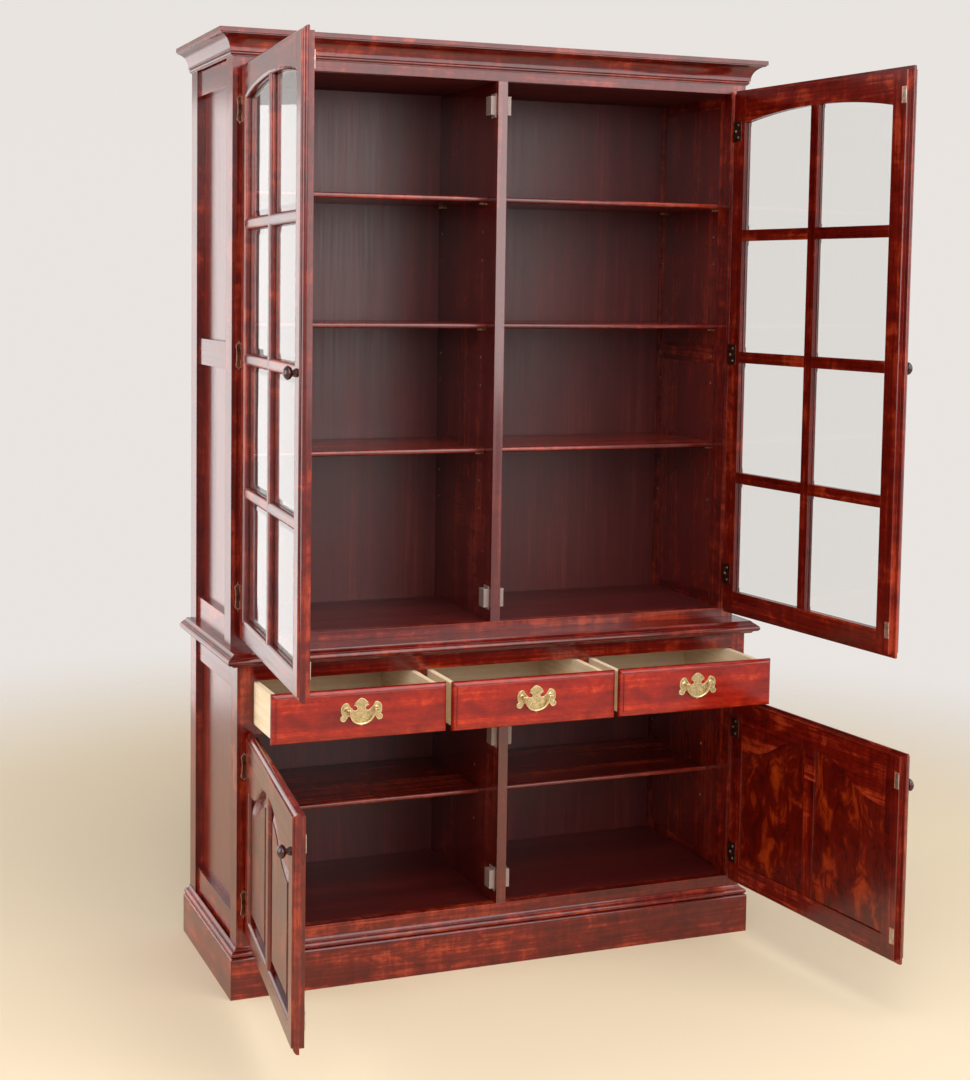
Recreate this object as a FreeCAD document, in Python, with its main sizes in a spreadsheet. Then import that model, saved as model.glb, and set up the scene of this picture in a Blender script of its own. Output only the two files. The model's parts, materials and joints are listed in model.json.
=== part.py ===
# Display cabinet in two halves. The base has three lipped drawers over a pair of
# panelled doors, and the hutch on top has a pair of glazed doors with arched heads.
# Millimetres. X runs to the right, Y to the back, Z up. The origin is on the floor,
# in the middle of the case. The doors stand open and the drawers are pulled part out.
import FreeCAD, Part
import math
import os
import re

import Sketcher
from FreeCAD import Rotation, Vector

SIZES = {
    # case
    "case_width": 1200,
    "case_depth": 408,
    "post_wide": 34,
    "post_deep": 50,
    "side_thick": 28,
    "side_rail_set": 5.5,
    "side_panel_set": 12.5,
    "back_recess": 6,
    "back_thick": 6,
    "back_housing": 8,
    "housing": 7,
    "rail_thick": 22,
    "divider_thick": 22,
    # plinth and base, from the floor up
    "plinth_high": 87,
    "plinth_proud": 15.5,
    "plinth_edge": 5,
    "bead_high": 20,
    "bead_proud": 14,
    "bead_round": 6.5,
    "side_lap": 10,
    "base_side_low_rail": 84,
    "base_side_top_rail": 65.5,
    "floor_top": 132,
    "board_thick": 18,
    "lower_open_high": 423,
    "drawer_rail_high": 21,
    "drawer_open_high": 91,
    "top_rail_high": 41,
    "runner_wide": 50,
    "guide_high": 20,
    "kicker_wide": 30,
    # waist
    "waist_thick": 20,
    "waist_proud": 26,
    "waist_drop": 8,
    "waist_flat": 10,
    "waist_round": 7,
    # hutch, from the waist up
    "hutch_setback": 56,
    "sill_high": 20.5,
    "upper_open_high": 1177.5,
    "frieze_high": 21,
    "hutch_side_low_rail": 56,
    "hutch_side_mid_low": 578,
    "hutch_side_mid_rail": 57,
    "hutch_side_top_rail": 54,
    "cornice_high": 53,
    "cornice_proud": 36,
    "cornice_lip": 9.5,
    "cornice_cove": 30,
    "dust_board": 6,
    "dust_drop": 4,
    # shelves
    "shelf_thick": 11,
    "shelf_nose": 5,
    "shelf_gap": 1,
    "shelf_back_gap": 2,
    "shelf_in": 50.5,
    "base_shelf_in": 108,
    "base_shelf_up": 228.5,
    "shelf_low_up": 380.5,
    "shelf_step_low": 275,
    "shelf_step_high": 276.5,
    "pin_round": 2.5,
    "pin_fit": 0.05,
    "pin_in": 8,
    "pin_out": 9,
    "pin_from_edge": 26,
    "pin_from_back": 21,
    "hole_pitch": 62,
    # doors
    "lip_lap": 6,
    "lip_thick": 14,
    "lip_stand": 1.5,
    "tongue_thick": 10.5,
    "rebate_side_gap": 3,
    "rebate_end_gap": 1.5,
    "meeting_gap": 4,
    "divider_gap": 2,
    "edge_round": 8.5,
    "edge_step": 3.5,
    "edge_set": 1.5,
    "stick_round": 7,
    "stile_wide": 47,
    "upper_foot_rail": 54,
    "upper_head_rail": 54,
    "arch_rise": 21,
    "bar_wide": 25,
    "bar_face": 9,
    "bar_set": 1,
    "pane_high": 249,
    "pane_thick": 4,
    "pane_front": 3,
    "pane_housing": 5.5,
    "pane_bevel": 18,
    "pane_bevel_deep": 1.5,
    "lower_foot_rail": 51,
    "lower_head_rail": 55,
    "muntin_wide": 33,
    "ogee_rise": 64,
    "ogee_shoulder": 15,
    "panel_thick": 7,
    "panel_back_set": 3.5,
    "panel_margin": 1.5,
    "panel_bevel": 26,
    "panel_bevel_high": 9.5,
    "panel_step": 1.5,
    # hinges, knobs and catches
    "pin_ahead": 6.5,
    "pin_gap": 3.2,
    "knuckle_round": 2.6,
    "hinge_pin_round": 1.2,
    "hinge_pin_fit": 0.1,
    "knuckle_high": 45,
    "knuckle_mid": 21,
    "knuckle_gap": 0.3,
    "wing_reach": 16.5,
    "wing_high": 77,
    "wing_thick": 1.5,
    "wing_waist": 4,
    "leaf_thick": 1.2,
    "leaf_reach": 26,
    "upper_hinge_in": 92,
    "lower_hinge_in": 72,
    "knob_in": 25,
    "knob_round": 13,
    "knob_neck": 4.5,
    "knob_foot": 8,
    "knob_reach": 25,
    "knob_dome": 8,
    "knob_waist": 8,
    "upper_knob_up": 581.5,
    "lower_knob_up": 356,
    "catch_high": 40,
    "catch_plate_high": 52,
    "catch_plate_thick": 1.5,
    "catch_proud": 12.5,
    "catch_deep": 27,
    "catch_gap": 0.3,
    "catch_end": 51,
    "strike_wide": 12,
    "strike_high": 33,
    "strike_thick": 1.2,
    # drawers
    "front_lip_thick": 12,
    "front_tongue": 10,
    "front_edge_round": 8,
    "front_edge_step": 2,
    "drawer_gap": 2,
    "drawer_lift": 0.3,
    "drawer_top_gap": 2.5,
    "drawer_stand": 0.3,
    "box_deep": 340,
    "box_thick": 12,
    "box_floor": 5,
    "box_floor_up": 9,
    "box_groove": 6,
    "left_pull_out": 148,
    "middle_pull_out": 154,
    "right_pull_out": 152,
    # pulls
    "pull_up": 63,
    "pull_half": 32.3,
    "plate_half": 45.3,
    "plate_thick": 1.8,
    "post_stem": 2.6,
    "post_round": 3.4,
    "bail_out": 9.5,
    "bail_wire": 1.9,
    "bail_half": 26.6,
    "bail_drop": 4.5,
    "bail_rest_gap": 0.3,
    "bail_pivot": 1.6,
    "bail_pivot_in": 3,
    "bail_pivot_gap": 0.8,
    "bail_fit": 0.1,
    # how far each door stands open, in degrees
    "upper_left_open": 94.5,
    "upper_right_open": 96.5,
    "lower_left_open": 96.8,
    "lower_right_open": 96,
}

doc = FreeCAD.newDocument("display_cabinet")
sheet = doc.addObject("Spreadsheet::Sheet", "Sizes")
for line, (word, size) in enumerate(SIZES.items(), start=1):
    sheet.set(f"A{line}", word)
    sheet.set(f"B{line}", str(size))
    sheet.setAlias(f"B{line}", word)
doc.recompute()

SIZE_WORDS = re.compile(r"\b(" + "|".join(SIZES) + r")\b")


def tie(text):
    """Point each size word of an expression at its cell in the sheet."""
    return SIZE_WORDS.sub(r"Sizes.\1", str(text))


def number(text):
    """The present value of an expression on the sheet."""
    return float(sheet.evalExpression(tie(text)))


# places on each axis, as expressions on the sheet
HALF = "(case_width / 2)"
FRONT = "(-case_depth / 2)"
BACK = "(case_depth / 2)"
OPEN = "(case_width / 2 - post_wide)"
INNER = "(case_width / 2 - side_thick)"
BACK_FACE = "(case_depth / 2 - back_recess - back_thick)"
DIVIDER = "(divider_thick / 2)"
HUTCH_FRONT = "(hutch_setback - case_depth / 2)"
BAY = f"((2 * {OPEN} - 2 * divider_thick) / 3)"

LOWER_TOP = "(floor_top + lower_open_high)"
DRAWER_LOW = f"({LOWER_TOP} + drawer_rail_high)"
DRAWER_TOP = f"({DRAWER_LOW} + drawer_open_high)"
BASE_TOP = f"({DRAWER_TOP} + top_rail_high)"
WAIST_TOP = f"({BASE_TOP} + waist_thick)"
SILL_TOP = f"({WAIST_TOP} + sill_high)"
UPPER_TOP = f"({SILL_TOP} + upper_open_high)"
CORNICE_LOW = f"({UPPER_TOP} + frieze_high)"
TOP = f"({CORNICE_LOW} + cornice_high)"
HUTCH_HEAD = f"({TOP} - dust_drop - dust_board)"
SIDE_LOW = "(plinth_high - side_lap)"

nodes = []


def put(thing, x="0", y="0", z="0"):
    """Place a thing by expressions on the sheet."""
    thing.setExpression("Placement.Base", f"create(<<vector>>; {tie(x)}; {tie(y)}; {tie(z)})")
    return thing


def block(name, x, y, z):
    """A squared board between a low and a high place on each axis."""
    board = doc.addObject("Part::Box", name)
    for side, (low, high) in zip(("Length", "Width", "Height"), (x, y, z)):
        board.setExpression(side, tie(f"({high}) - ({low})"))
    return put(board, x[0], y[0], z[0])


def rod(name, radius, length, x, y, z, facing=None):
    """A round rod that starts at a point and runs along facing, upwards by default."""
    piece = doc.addObject("Part::Cylinder", name)
    piece.setExpression("Radius", tie(radius))
    piece.setExpression("Height", tie(length))
    if facing:
        piece.Placement.Rotation = Rotation(Vector(0, 0, 1), facing)
    return put(piece, x, y, z)


def both_sides(name, x, y, z):
    """The same board at the left and at the right of the case."""
    left = block(f"{name}_left", (f"-({x[1]})", f"-({x[0]})"), y, z)
    return [left, block(f"{name}_right", x, y, z)]


def cut(name, base, tools):
    """A piece with housings cut for the pieces that it holds."""
    tool = tools[0]
    if len(tools) > 1:
        tool = doc.addObject("Part::Compound", f"{name}_tools")
        tool.Links = tools
    piece = doc.addObject("Part::Cut", name)
    piece.Base = base
    piece.Tool = tool
    return piece


def common(name, base, tool):
    """The share of one piece that lies inside another."""
    piece = doc.addObject("Part::Common", name)
    piece.Base = base
    piece.Tool = tool
    return piece


def fuse(name, pieces):
    """Pieces that are one solid."""
    piece = doc.addObject("Part::MultiFuse", name)
    piece.Shapes = pieces
    piece.Refine = True
    return piece


def gather(name, pieces):
    """Pieces that share one place or one file as separate solids."""
    piece = doc.addObject("Part::Compound", name)
    piece.Links = pieces
    return piece


def node(name, pieces):
    """A named sub-part of the cabinet."""
    piece = gather(name, pieces)
    piece.Label = name
    nodes.append(piece)
    return piece


def outline(sketch, corners):
    """Close a wire through corners (x, y). A corner (x, y, radius, turn) is reached by an arc
    that turns anticlockwise for +1 and clockwise for -1."""
    spots = [Vector(number(corner[0]), number(corner[1]), 0) for corner in corners]
    runs = []
    for index, corner in enumerate(corners):
        start, stop = spots[index - 1], spots[index]
        if len(corner) == 2:
            runs.append((sketch.addGeometry(Part.LineSegment(start, stop)), 1, 2))
            continue
        radius, turn = number(corner[2]), corner[3]
        chord = stop - start
        rise = math.sqrt(max(radius**2 - chord.Length**2 / 4, 0))
        across = Vector(-chord.y, chord.x, 0).normalize() * rise * turn
        centre = (start + stop) * 0.5 + across
        first, last = (start, stop) if turn > 0 else (stop, start)
        begin = math.atan2(first.y - centre.y, first.x - centre.x)
        end = math.atan2(last.y - centre.y, last.x - centre.x)
        if end <= begin:
            end += 2 * math.pi
        circle = Part.Circle(centre, Vector(0, 0, 1), radius)
        arc = sketch.addGeometry(Part.ArcOfCircle(circle, begin, end))
        runs.append((arc, 1, 2) if turn > 0 else (arc, 2, 1))
        index_of_rule = sketch.addConstraint(Sketcher.Constraint("Radius", arc, radius))
        sketch.setExpression(f"Constraints[{index_of_rule}]", tie(corner[2]))
    for index, corner in enumerate(corners):
        run, _, end_of_run = runs[index]
        following, start_of_next, _ = runs[(index + 1) % len(runs)]
        sketch.addConstraint(Sketcher.Constraint("Coincident", run, end_of_run, following, start_of_next))
        for rule, place, text in zip(("DistanceX", "DistanceY"), spots[index], corner):
            index_of_rule = sketch.addConstraint(Sketcher.Constraint(rule, run, end_of_run, place))
            sketch.setExpression(f"Constraints[{index_of_rule}]", tie(text))


FLAT = Rotation()
FACING_FRONT = Rotation(Vector(1, 0, 0), Vector(0, 0, 1), Vector(0, -1, 0))
FACING_RIGHT = Rotation(Vector(0, 1, 0), Vector(0, 0, 1), Vector(1, 0, 0))


def prism(name, corners, rotation, length, start="0", symmetric=False):
    """A solid of one section, drawn in the plane that the rotation gives."""
    sketch = doc.addObject("Sketcher::SketchObject", f"{name}_section")
    sketch.Placement.Rotation = rotation
    outline(sketch, corners)
    lift = rotation.multVec(Vector(0, 0, 1))
    put(sketch, *(f"({step:g}) * ({start})" for step in lift))
    solid = doc.addObject("Part::Extrusion", name)
    solid.Base = sketch
    solid.DirMode = "Normal"
    solid.Solid = True
    solid.Symmetric = symmetric
    solid.setExpression("LengthFwd", tie(length))
    return solid


def surround(name, profile, low, front, proud):
    """A moulding along the front and both sides of the case, mitred at the front corners.
    The profile's corners are (distance out from the case, height above low)."""

    def laid(out_from, out_sign):
        turned = []
        for corner in profile:
            across = f"{out_from} {'+' if out_sign > 0 else '-'} ({corner[0]})"
            spot = (across, f"{low} + ({corner[1]})")
            turned.append(spot + ((corner[2], corner[3] * out_sign) if len(corner) > 2 else ()))
        return turned

    reach = f"(2 * {proud})"
    mitre = prism(
        f"{name}_mitre",
        [
            (f"-{HALF} - {reach}", f"{front} - {reach}"),
            (f"{HALF} + {reach}", f"{front} - {reach}"),
            (HALF, front),
            (f"-{HALF}", front),
        ],
        FLAT,
        TOP,
    )
    long_run = prism(
        f"{name}_front_run", laid(front, -1), FACING_RIGHT, f"case_width + 2 * {reach}", symmetric=True
    )
    lengths = [common(f"{name}_front", long_run, mitre)]
    depth = f"({BACK} - {front} + {reach})"
    for side, place, sign in (("left", f"-{HALF}", -1), ("right", HALF, 1)):
        run = prism(f"{name}_{side}_run", laid(place, sign), FACING_FRONT, depth, start=f"-{BACK}")
        lengths.append(cut(f"{name}_{side}", run, [mitre]))
    return node(name, lengths)


# PartDesign helpers: sketches on a body's own planes, pads and pockets


def body_sketch(body, name, corners, offset="0", role="XZ_Plane"):
    sketch = body.newObject("Sketcher::SketchObject", name)
    plane = [feature for feature in body.Origin.OriginFeatures if feature.Role == role][0]
    sketch.AttachmentSupport = [(plane, "")]
    sketch.MapMode = "FlatFace"
    sketch.setExpression("AttachmentOffset.Base.z", tie(offset))
    outline(sketch, corners)
    return sketch


def pad(body, name, sketch, length):
    feature = body.newObject("PartDesign::Pad", name)
    feature.Profile = sketch
    feature.setExpression("Length", tie(length))
    doc.recompute()
    return feature


def pocket(body, name, sketch):
    """A pocket through the body. It stops the build if it removes nothing."""
    before = body.Shape.Volume
    feature = body.newObject("PartDesign::Pocket", name)
    feature.Profile = sketch
    feature.Type = "ThroughAll"
    doc.recompute()
    if body.Shape.Volume >= before:
        raise RuntimeError(f"{name} removes nothing")
    return feature


def soften(body, name, base, picked, radius):
    """Round the edges that picked chooses."""
    feature = body.newObject("PartDesign::Fillet", name)
    names = [f"Edge{i}" for i, edge in enumerate(base.Shape.Edges, start=1) if picked(edge)]
    if not names:
        raise RuntimeError(f"{name} finds no edge")
    feature.Base = (base, names)
    feature.setExpression("Radius", tie(radius))
    doc.recompute()
    return feature


def on_face(edge, y):
    """Whether an edge lies in the plane at a depth y."""
    return abs(edge.BoundBox.YMin - y) < 1e-4 and abs(edge.BoundBox.YMax - y) < 1e-4


def rectangle(low_x, low_z, high_x, high_z):
    return [(low_x, low_z), (high_x, low_z), (high_x, high_z), (low_x, high_z)]


def plinth():
    """Mitred boards with a rounded top arris, and the bearers that they hide."""
    edge = "plinth_edge"
    profile = [
        ("0", "0"),
        ("plinth_proud", "0"),
        ("plinth_proud", f"plinth_high - {edge}"),
        (f"plinth_proud - {edge}", "plinth_high", edge, 1),
        ("0", "plinth_high"),
    ]
    surround("plinth_boards", profile, "0", FRONT, "plinth_proud")
    inside = (f"-{INNER}", INNER)
    back_rail = block("plinth_back_rail", inside, (f"{BACK} - rail_thick", BACK), ("0", SIDE_LOW))
    floor_low = "floor_top - board_thick"
    bearer_run = (f"{FRONT} + rail_thick", f"{BACK} - rail_thick")
    bearer = block("plinth_bearer", (f"-{DIVIDER}", DIVIDER), bearer_run, ("0", floor_low))
    node("plinth_bearers", [bearer, back_rail])


def base_bead():
    """The bead and small cove that finish the top of the plinth."""
    centre = "(bead_proud - bead_round)"
    top = "(2 * bead_round)"
    profile = [
        ("0", "0"),
        (centre, "0"),
        ("bead_proud", "bead_round", "bead_round", 1),
        (centre, top, "bead_round", 1),
        (f"{centre} - 2.5", top),
        (f"{centre} - 2.5", f"{top} + 2"),
        ("1.5", "bead_high", f"bead_high - {top} + 1", -1),
        ("0", "bead_high"),
    ]
    surround("base_moulding", profile, "plinth_high", FRONT, "bead_proud")


def case_sides(name, front, levels, low, high, holes):
    """Posts, rails and housed panels of both sides of one half of the case.
    levels are the rails as (low, high) pairs, and holes are drilled for the shelf pins."""
    back_housing = block(
        f"{name}_back_rebate",
        (f"-{INNER} - back_housing", f"{INNER} + back_housing"),
        (BACK_FACE, BACK),
        (low, high),
    )
    rail_y = (f"{front} + post_deep", f"{BACK} - post_deep")
    rail_x = (INNER, f"{HALF} - side_rail_set")
    panel_x = (INNER, f"{HALF} - side_rail_set - side_panel_set")
    panels = []
    for index, (below, above) in enumerate(zip(levels, levels[1:])):
        panel_z = (f"{below[1]} - housing", f"{above[0]} + housing")
        panel_y = (f"{rail_y[0]} - housing", f"{rail_y[1]} + housing")
        panels += both_sides(f"{name}_panel_{index}", panel_x, panel_y, panel_z)
    posts = both_sides(f"{name}_front_post", (OPEN, HALF), (front, f"{front} + post_deep"), (low, high))
    posts += both_sides(f"{name}_back_post", (INNER, HALF), (f"{BACK} - post_deep", BACK), (low, high))
    cutters = panels + [back_housing] + holes
    framed = [cut(f"{name}_post_{i}", post, cutters) for i, post in enumerate(posts)]
    for index, level in enumerate(levels):
        for side, rail in zip(("left", "right"), both_sides(f"{name}_rail_{index}", rail_x, rail_y, level)):
            framed.append(cut(f"{name}_{side}_rail_{index}", rail, cutters))
    node(f"{name}_side_frames", framed)
    drilled = [cut(f"{name}_drilled_{i}", panel, holes) for i, panel in enumerate(panels)]
    node(f"{name}_side_panels", drilled)
    return posts


SHELF_LEVELS = {
    "base": ["(floor_top + base_shelf_up)"],
    "hutch": [
        f"({SILL_TOP} + shelf_low_up)",
        f"({SILL_TOP} + shelf_low_up + shelf_step_low)",
        f"({SILL_TOP} + shelf_low_up + shelf_step_low + shelf_step_high)",
    ],
}


SPARE_HOLES = {"base": (1, -1), "hutch": (-1, -2)}


def shelf_pins(name, front_edge):
    """Pins under the shelves of one half, and the holes in the sides and in the middle
    board: those that the pins fit, and spare ones a pitch apart to move a shelf to."""
    pins, side_holes, middle_holes = [], [], []
    columns = (f"{front_edge} + pin_from_edge", f"{BACK_FACE} - pin_from_back")
    walls = (
        (f"-{INNER}", 1, side_holes),
        (f"-{DIVIDER}", -1, middle_holes),
        (DIVIDER, 1, middle_holes),
        (INNER, -1, side_holes),
    )
    for level, top in enumerate(SHELF_LEVELS[name]):
        z = f"{top} - shelf_thick - pin_round"
        for column, y in enumerate(columns):
            for place, (wall, way, holes) in enumerate(walls):
                x = f"{wall} - ({way}) * pin_in"
                facing = Vector(way, 0, 0)
                label = f"{name}_pin_{level}_{column}_{place}"
                pins.append(rod(label, "pin_round", "pin_in + pin_out", x, y, z, facing))
                for step in (0,) + SPARE_HOLES[name]:
                    hole_z = f"{z} + {step} * hole_pitch"
                    bore = f"{label}_hole_{abs(step)}_{'up' if step > 0 else 'down'}"
                    holes.append(rod(bore, "pin_round + pin_fit", "pin_in", x, y, hole_z, facing))
    return pins, side_holes, middle_holes


def shelves(name, front_edge):
    """A pair of shelves with a rounded front edge at each level of one half."""
    boards = []
    for level, top in enumerate(SHELF_LEVELS[name]):
        for side, x in (
            ("left", (f"shelf_gap - {INNER}", f"-{DIVIDER} - shelf_gap")),
            ("right", (f"{DIVIDER} + shelf_gap", f"{INNER} - shelf_gap")),
        ):
            low, back = f"{top} - shelf_thick", f"{BACK_FACE} - shelf_back_gap"
            nose_low, nose_top = f"{low} + shelf_nose", f"{top} - shelf_nose"
            corners = [
                (back, low),
                (back, top),
                (f"{front_edge} + shelf_nose", top),
                (front_edge, nose_top, "shelf_nose", 1),
                (front_edge, nose_low),
                (f"{front_edge} + shelf_nose", low, "shelf_nose", 1),
            ]
            length = f"({x[1]}) - ({x[0]})"
            boards.append(prism(f"{name}_shelf_{level}_{side}", corners, FACING_RIGHT, length, start=x[0]))
    node(f"{name}_shelves", boards)


def base():
    """Carcase of the base: sides, floor, partition, front rails, drawer runners and back."""
    shelf_edge = f"({FRONT} + base_shelf_in)"
    pins, side_holes, middle_holes = shelf_pins("base", shelf_edge)
    levels = [
        (SIDE_LOW, f"{SIDE_LOW} + base_side_low_rail"),
        (f"{BASE_TOP} - base_side_top_rail", BASE_TOP),
    ]
    posts = case_sides("base", FRONT, levels, "0", BASE_TOP, side_holes)
    rail_y = (FRONT, f"{FRONT} + rail_thick")
    across = (f"-{OPEN}", OPEN)
    foot = block("base_foot_rail", across, rail_y, ("plinth_high - bead_high", "floor_top"))
    drawer_rail = block("base_drawer_rail", across, (FRONT, f"{FRONT} + post_deep"), (LOWER_TOP, DRAWER_LOW))
    head = block("base_head_rail", across, rail_y, (DRAWER_TOP, BASE_TOP))
    node("base_front_rails", [foot, drawer_rail, head])

    inside = (f"-{INNER}", INNER)
    floor = block("base_floor_blank", inside, (rail_y[1], BACK_FACE), ("floor_top - board_thick", "floor_top"))
    node("base_floor", [cut("base_floor_board", floor, posts[:2])])
    middle = (f"-{DIVIDER}", DIVIDER)
    partition = block("base_partition_blank", middle, (FRONT, BACK_FACE), ("floor_top", LOWER_TOP))
    node("base_partition", [cut("base_partition_board", partition, middle_holes)])

    bays = []
    runners = []
    inner_y = (f"{FRONT} + post_deep", BACK_FACE)
    for side, sign in (("left", -1), ("right", 1)):
        near, far = f"{BAY} / 2", f"{BAY} / 2 + divider_thick"
        x = (near, far) if sign > 0 else (f"-({far})", f"-({near})")
        bays.append(block(f"drawer_divider_{side}", x, (FRONT, BACK_FACE), (DRAWER_LOW, DRAWER_TOP)))
        centre = f"({sign}) * ({BAY} / 2 + {DIVIDER})"
        runner_x = (f"{centre} - runner_wide / 2", f"{centre} + runner_wide / 2")
        runners.append(block(f"middle_runner_{side}", runner_x, inner_y, (LOWER_TOP, DRAWER_LOW)))
        kicker_x = (f"{centre} - kicker_wide / 2", f"{centre} + kicker_wide / 2")
        kicker_y = (rail_y[1], BACK_FACE)
        runners.append(block(f"middle_kicker_{side}", kicker_x, kicker_y, (DRAWER_TOP, BASE_TOP)))
    node("drawer_dividers", bays)
    runners += both_sides("side_runner", (f"{INNER} - runner_wide", INNER), inner_y, (LOWER_TOP, DRAWER_LOW))
    guide_z = (DRAWER_LOW, f"{DRAWER_LOW} + guide_high")
    runners += both_sides("side_guide", (OPEN, INNER), inner_y, guide_z)
    runners += both_sides("side_kicker", (f"{INNER} - kicker_wide", INNER), inner_y, (DRAWER_TOP, BASE_TOP))
    node("drawer_runners", runners)

    back_x = (f"-{INNER} - back_housing", f"{INNER} + back_housing")
    back_y = (BACK_FACE, f"{BACK} - back_recess")
    node("base_back", [block("base_back_board", back_x, back_y, (SIDE_LOW, BASE_TOP))])
    shelves("base", shelf_edge)
    return pins


def waist():
    """The board between the halves, with a moulded nose along its front and sides."""
    board = block("waist_top", (f"-{HALF}", HALF), (FRONT, BACK), (BASE_TOP, WAIST_TOP))
    node("waist_board", [board])
    drop = "waist_drop"
    centre = "(waist_proud - waist_round)"
    nose_low = f"({drop} - 3)"
    nose_top = f"({nose_low} + 2 * waist_round)"
    high = f"({drop} + waist_thick)"
    profile = [
        ("0", "0"),
        (f"{centre} - 7", "0"),
        (centre, nose_low, "9", -1),
        ("waist_proud", f"{nose_low} + waist_round", "waist_round", 1),
        (centre, nose_top, "waist_round", 1),
        (f"{centre} + 2", f"{nose_top} + 1"),
        ("waist_flat", high, "25", -1),
        ("0", high),
    ]
    surround("waist_moulding", profile, f"({BASE_TOP} - {drop})", FRONT, "waist_proud")


def hutch():
    """Carcase of the hutch: sides, sill, frieze, boards, divider, back and dust board."""
    shelf_edge = f"({HUTCH_FRONT} + shelf_in)"
    pins, side_holes, middle_holes = shelf_pins("hutch", shelf_edge)
    middle_low = f"{WAIST_TOP} + hutch_side_mid_low"
    levels = [
        (WAIST_TOP, f"{WAIST_TOP} + hutch_side_low_rail"),
        (middle_low, f"{middle_low} + hutch_side_mid_rail"),
        (f"{CORNICE_LOW} - hutch_side_top_rail", HUTCH_HEAD),
    ]
    posts = case_sides("hutch", HUTCH_FRONT, levels, WAIST_TOP, HUTCH_HEAD, side_holes)
    across = (f"-{OPEN}", OPEN)
    inside = (f"-{INNER}", INNER)
    rail_y = (HUTCH_FRONT, f"{HUTCH_FRONT} + rail_thick")
    sill = block("hutch_sill", across, rail_y, (WAIST_TOP, SILL_TOP))
    frieze = block("hutch_frieze", across, rail_y, (UPPER_TOP, HUTCH_HEAD))
    node("hutch_front_rails", [sill, frieze])
    board_y = (rail_y[1], BACK_FACE)
    floor = block("hutch_floor_blank", inside, board_y, (f"{SILL_TOP} - board_thick", SILL_TOP))
    node("hutch_floor", [cut("hutch_floor_board", floor, posts[:2])])
    ceiling = block("hutch_ceiling_blank", inside, board_y, (UPPER_TOP, f"{UPPER_TOP} + board_thick"))
    dust_z = (HUTCH_HEAD, f"{HUTCH_HEAD} + dust_board")
    dust = block("hutch_dust_board", (f"-{HALF}", HALF), (HUTCH_FRONT, BACK), dust_z)
    node("hutch_top", [cut("hutch_ceiling_board", ceiling, posts[:2]), dust])
    middle = (f"-{DIVIDER}", DIVIDER)
    divider = block("hutch_divider_blank", middle, (HUTCH_FRONT, BACK_FACE), (SILL_TOP, UPPER_TOP))
    node("hutch_divider", [cut("hutch_divider_board", divider, middle_holes)])
    back_y = (BACK_FACE, f"{BACK} - back_recess")
    back_z = (WAIST_TOP, HUTCH_HEAD)
    node("hutch_back", both_sides("hutch_back_board", ("0", f"{INNER} + back_housing"), back_y, back_z))
    shelves("hutch", shelf_edge)
    return pins


def cornice():
    """Crown moulding: a small bead, a fillet, a wide cove and a square lip."""
    lip_low = "(cornice_high - cornice_lip)"
    profile = [
        ("0", "0"),
        ("3", "0"),
        ("3", "2"),
        ("6.5", "5.5", "3.5", 1),
        ("3", "9", "3.5", 1),
        ("8", "9"),
        ("8", "11.5"),
        ("cornice_proud - 5", f"{lip_low} - 2.5", "cornice_cove", -1),
        ("cornice_proud - 3", f"{lip_low} - 2.5"),
        ("cornice_proud - 3", lip_low),
        ("cornice_proud", lip_low),
        ("cornice_proud", "cornice_high"),
        ("0", "cornice_high"),
    ]
    surround("cornice", profile, CORNICE_LOW, HUTCH_FRONT, "cornice_proud")


# Doors are drawn shut and hung on the left, with the hinge pin at the origin, X towards
# the free edge and Y towards the inside. The right-hand doors are their mirror images.
PIN_X = f"({OPEN} + lip_lap + pin_gap)"
LIP_X = ("pin_gap", f"{PIN_X} - meeting_gap")
LIP_BACK = "(pin_ahead - lip_stand)"
DOOR_FRONT = f"({LIP_BACK} - lip_thick)"
DOOR_BACK = f"({LIP_BACK} + tongue_thick)"
TONGUE_X = ("pin_gap + lip_lap + rebate_side_gap", f"{PIN_X} - {DIVIDER} - divider_gap")
SIGHT_X = ("pin_gap + stile_wide", f"{PIN_X} - meeting_gap - stile_wide")
SIGHT_MID = f"(({SIGHT_X[0]} + {SIGHT_X[1]}) / 2)"


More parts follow.
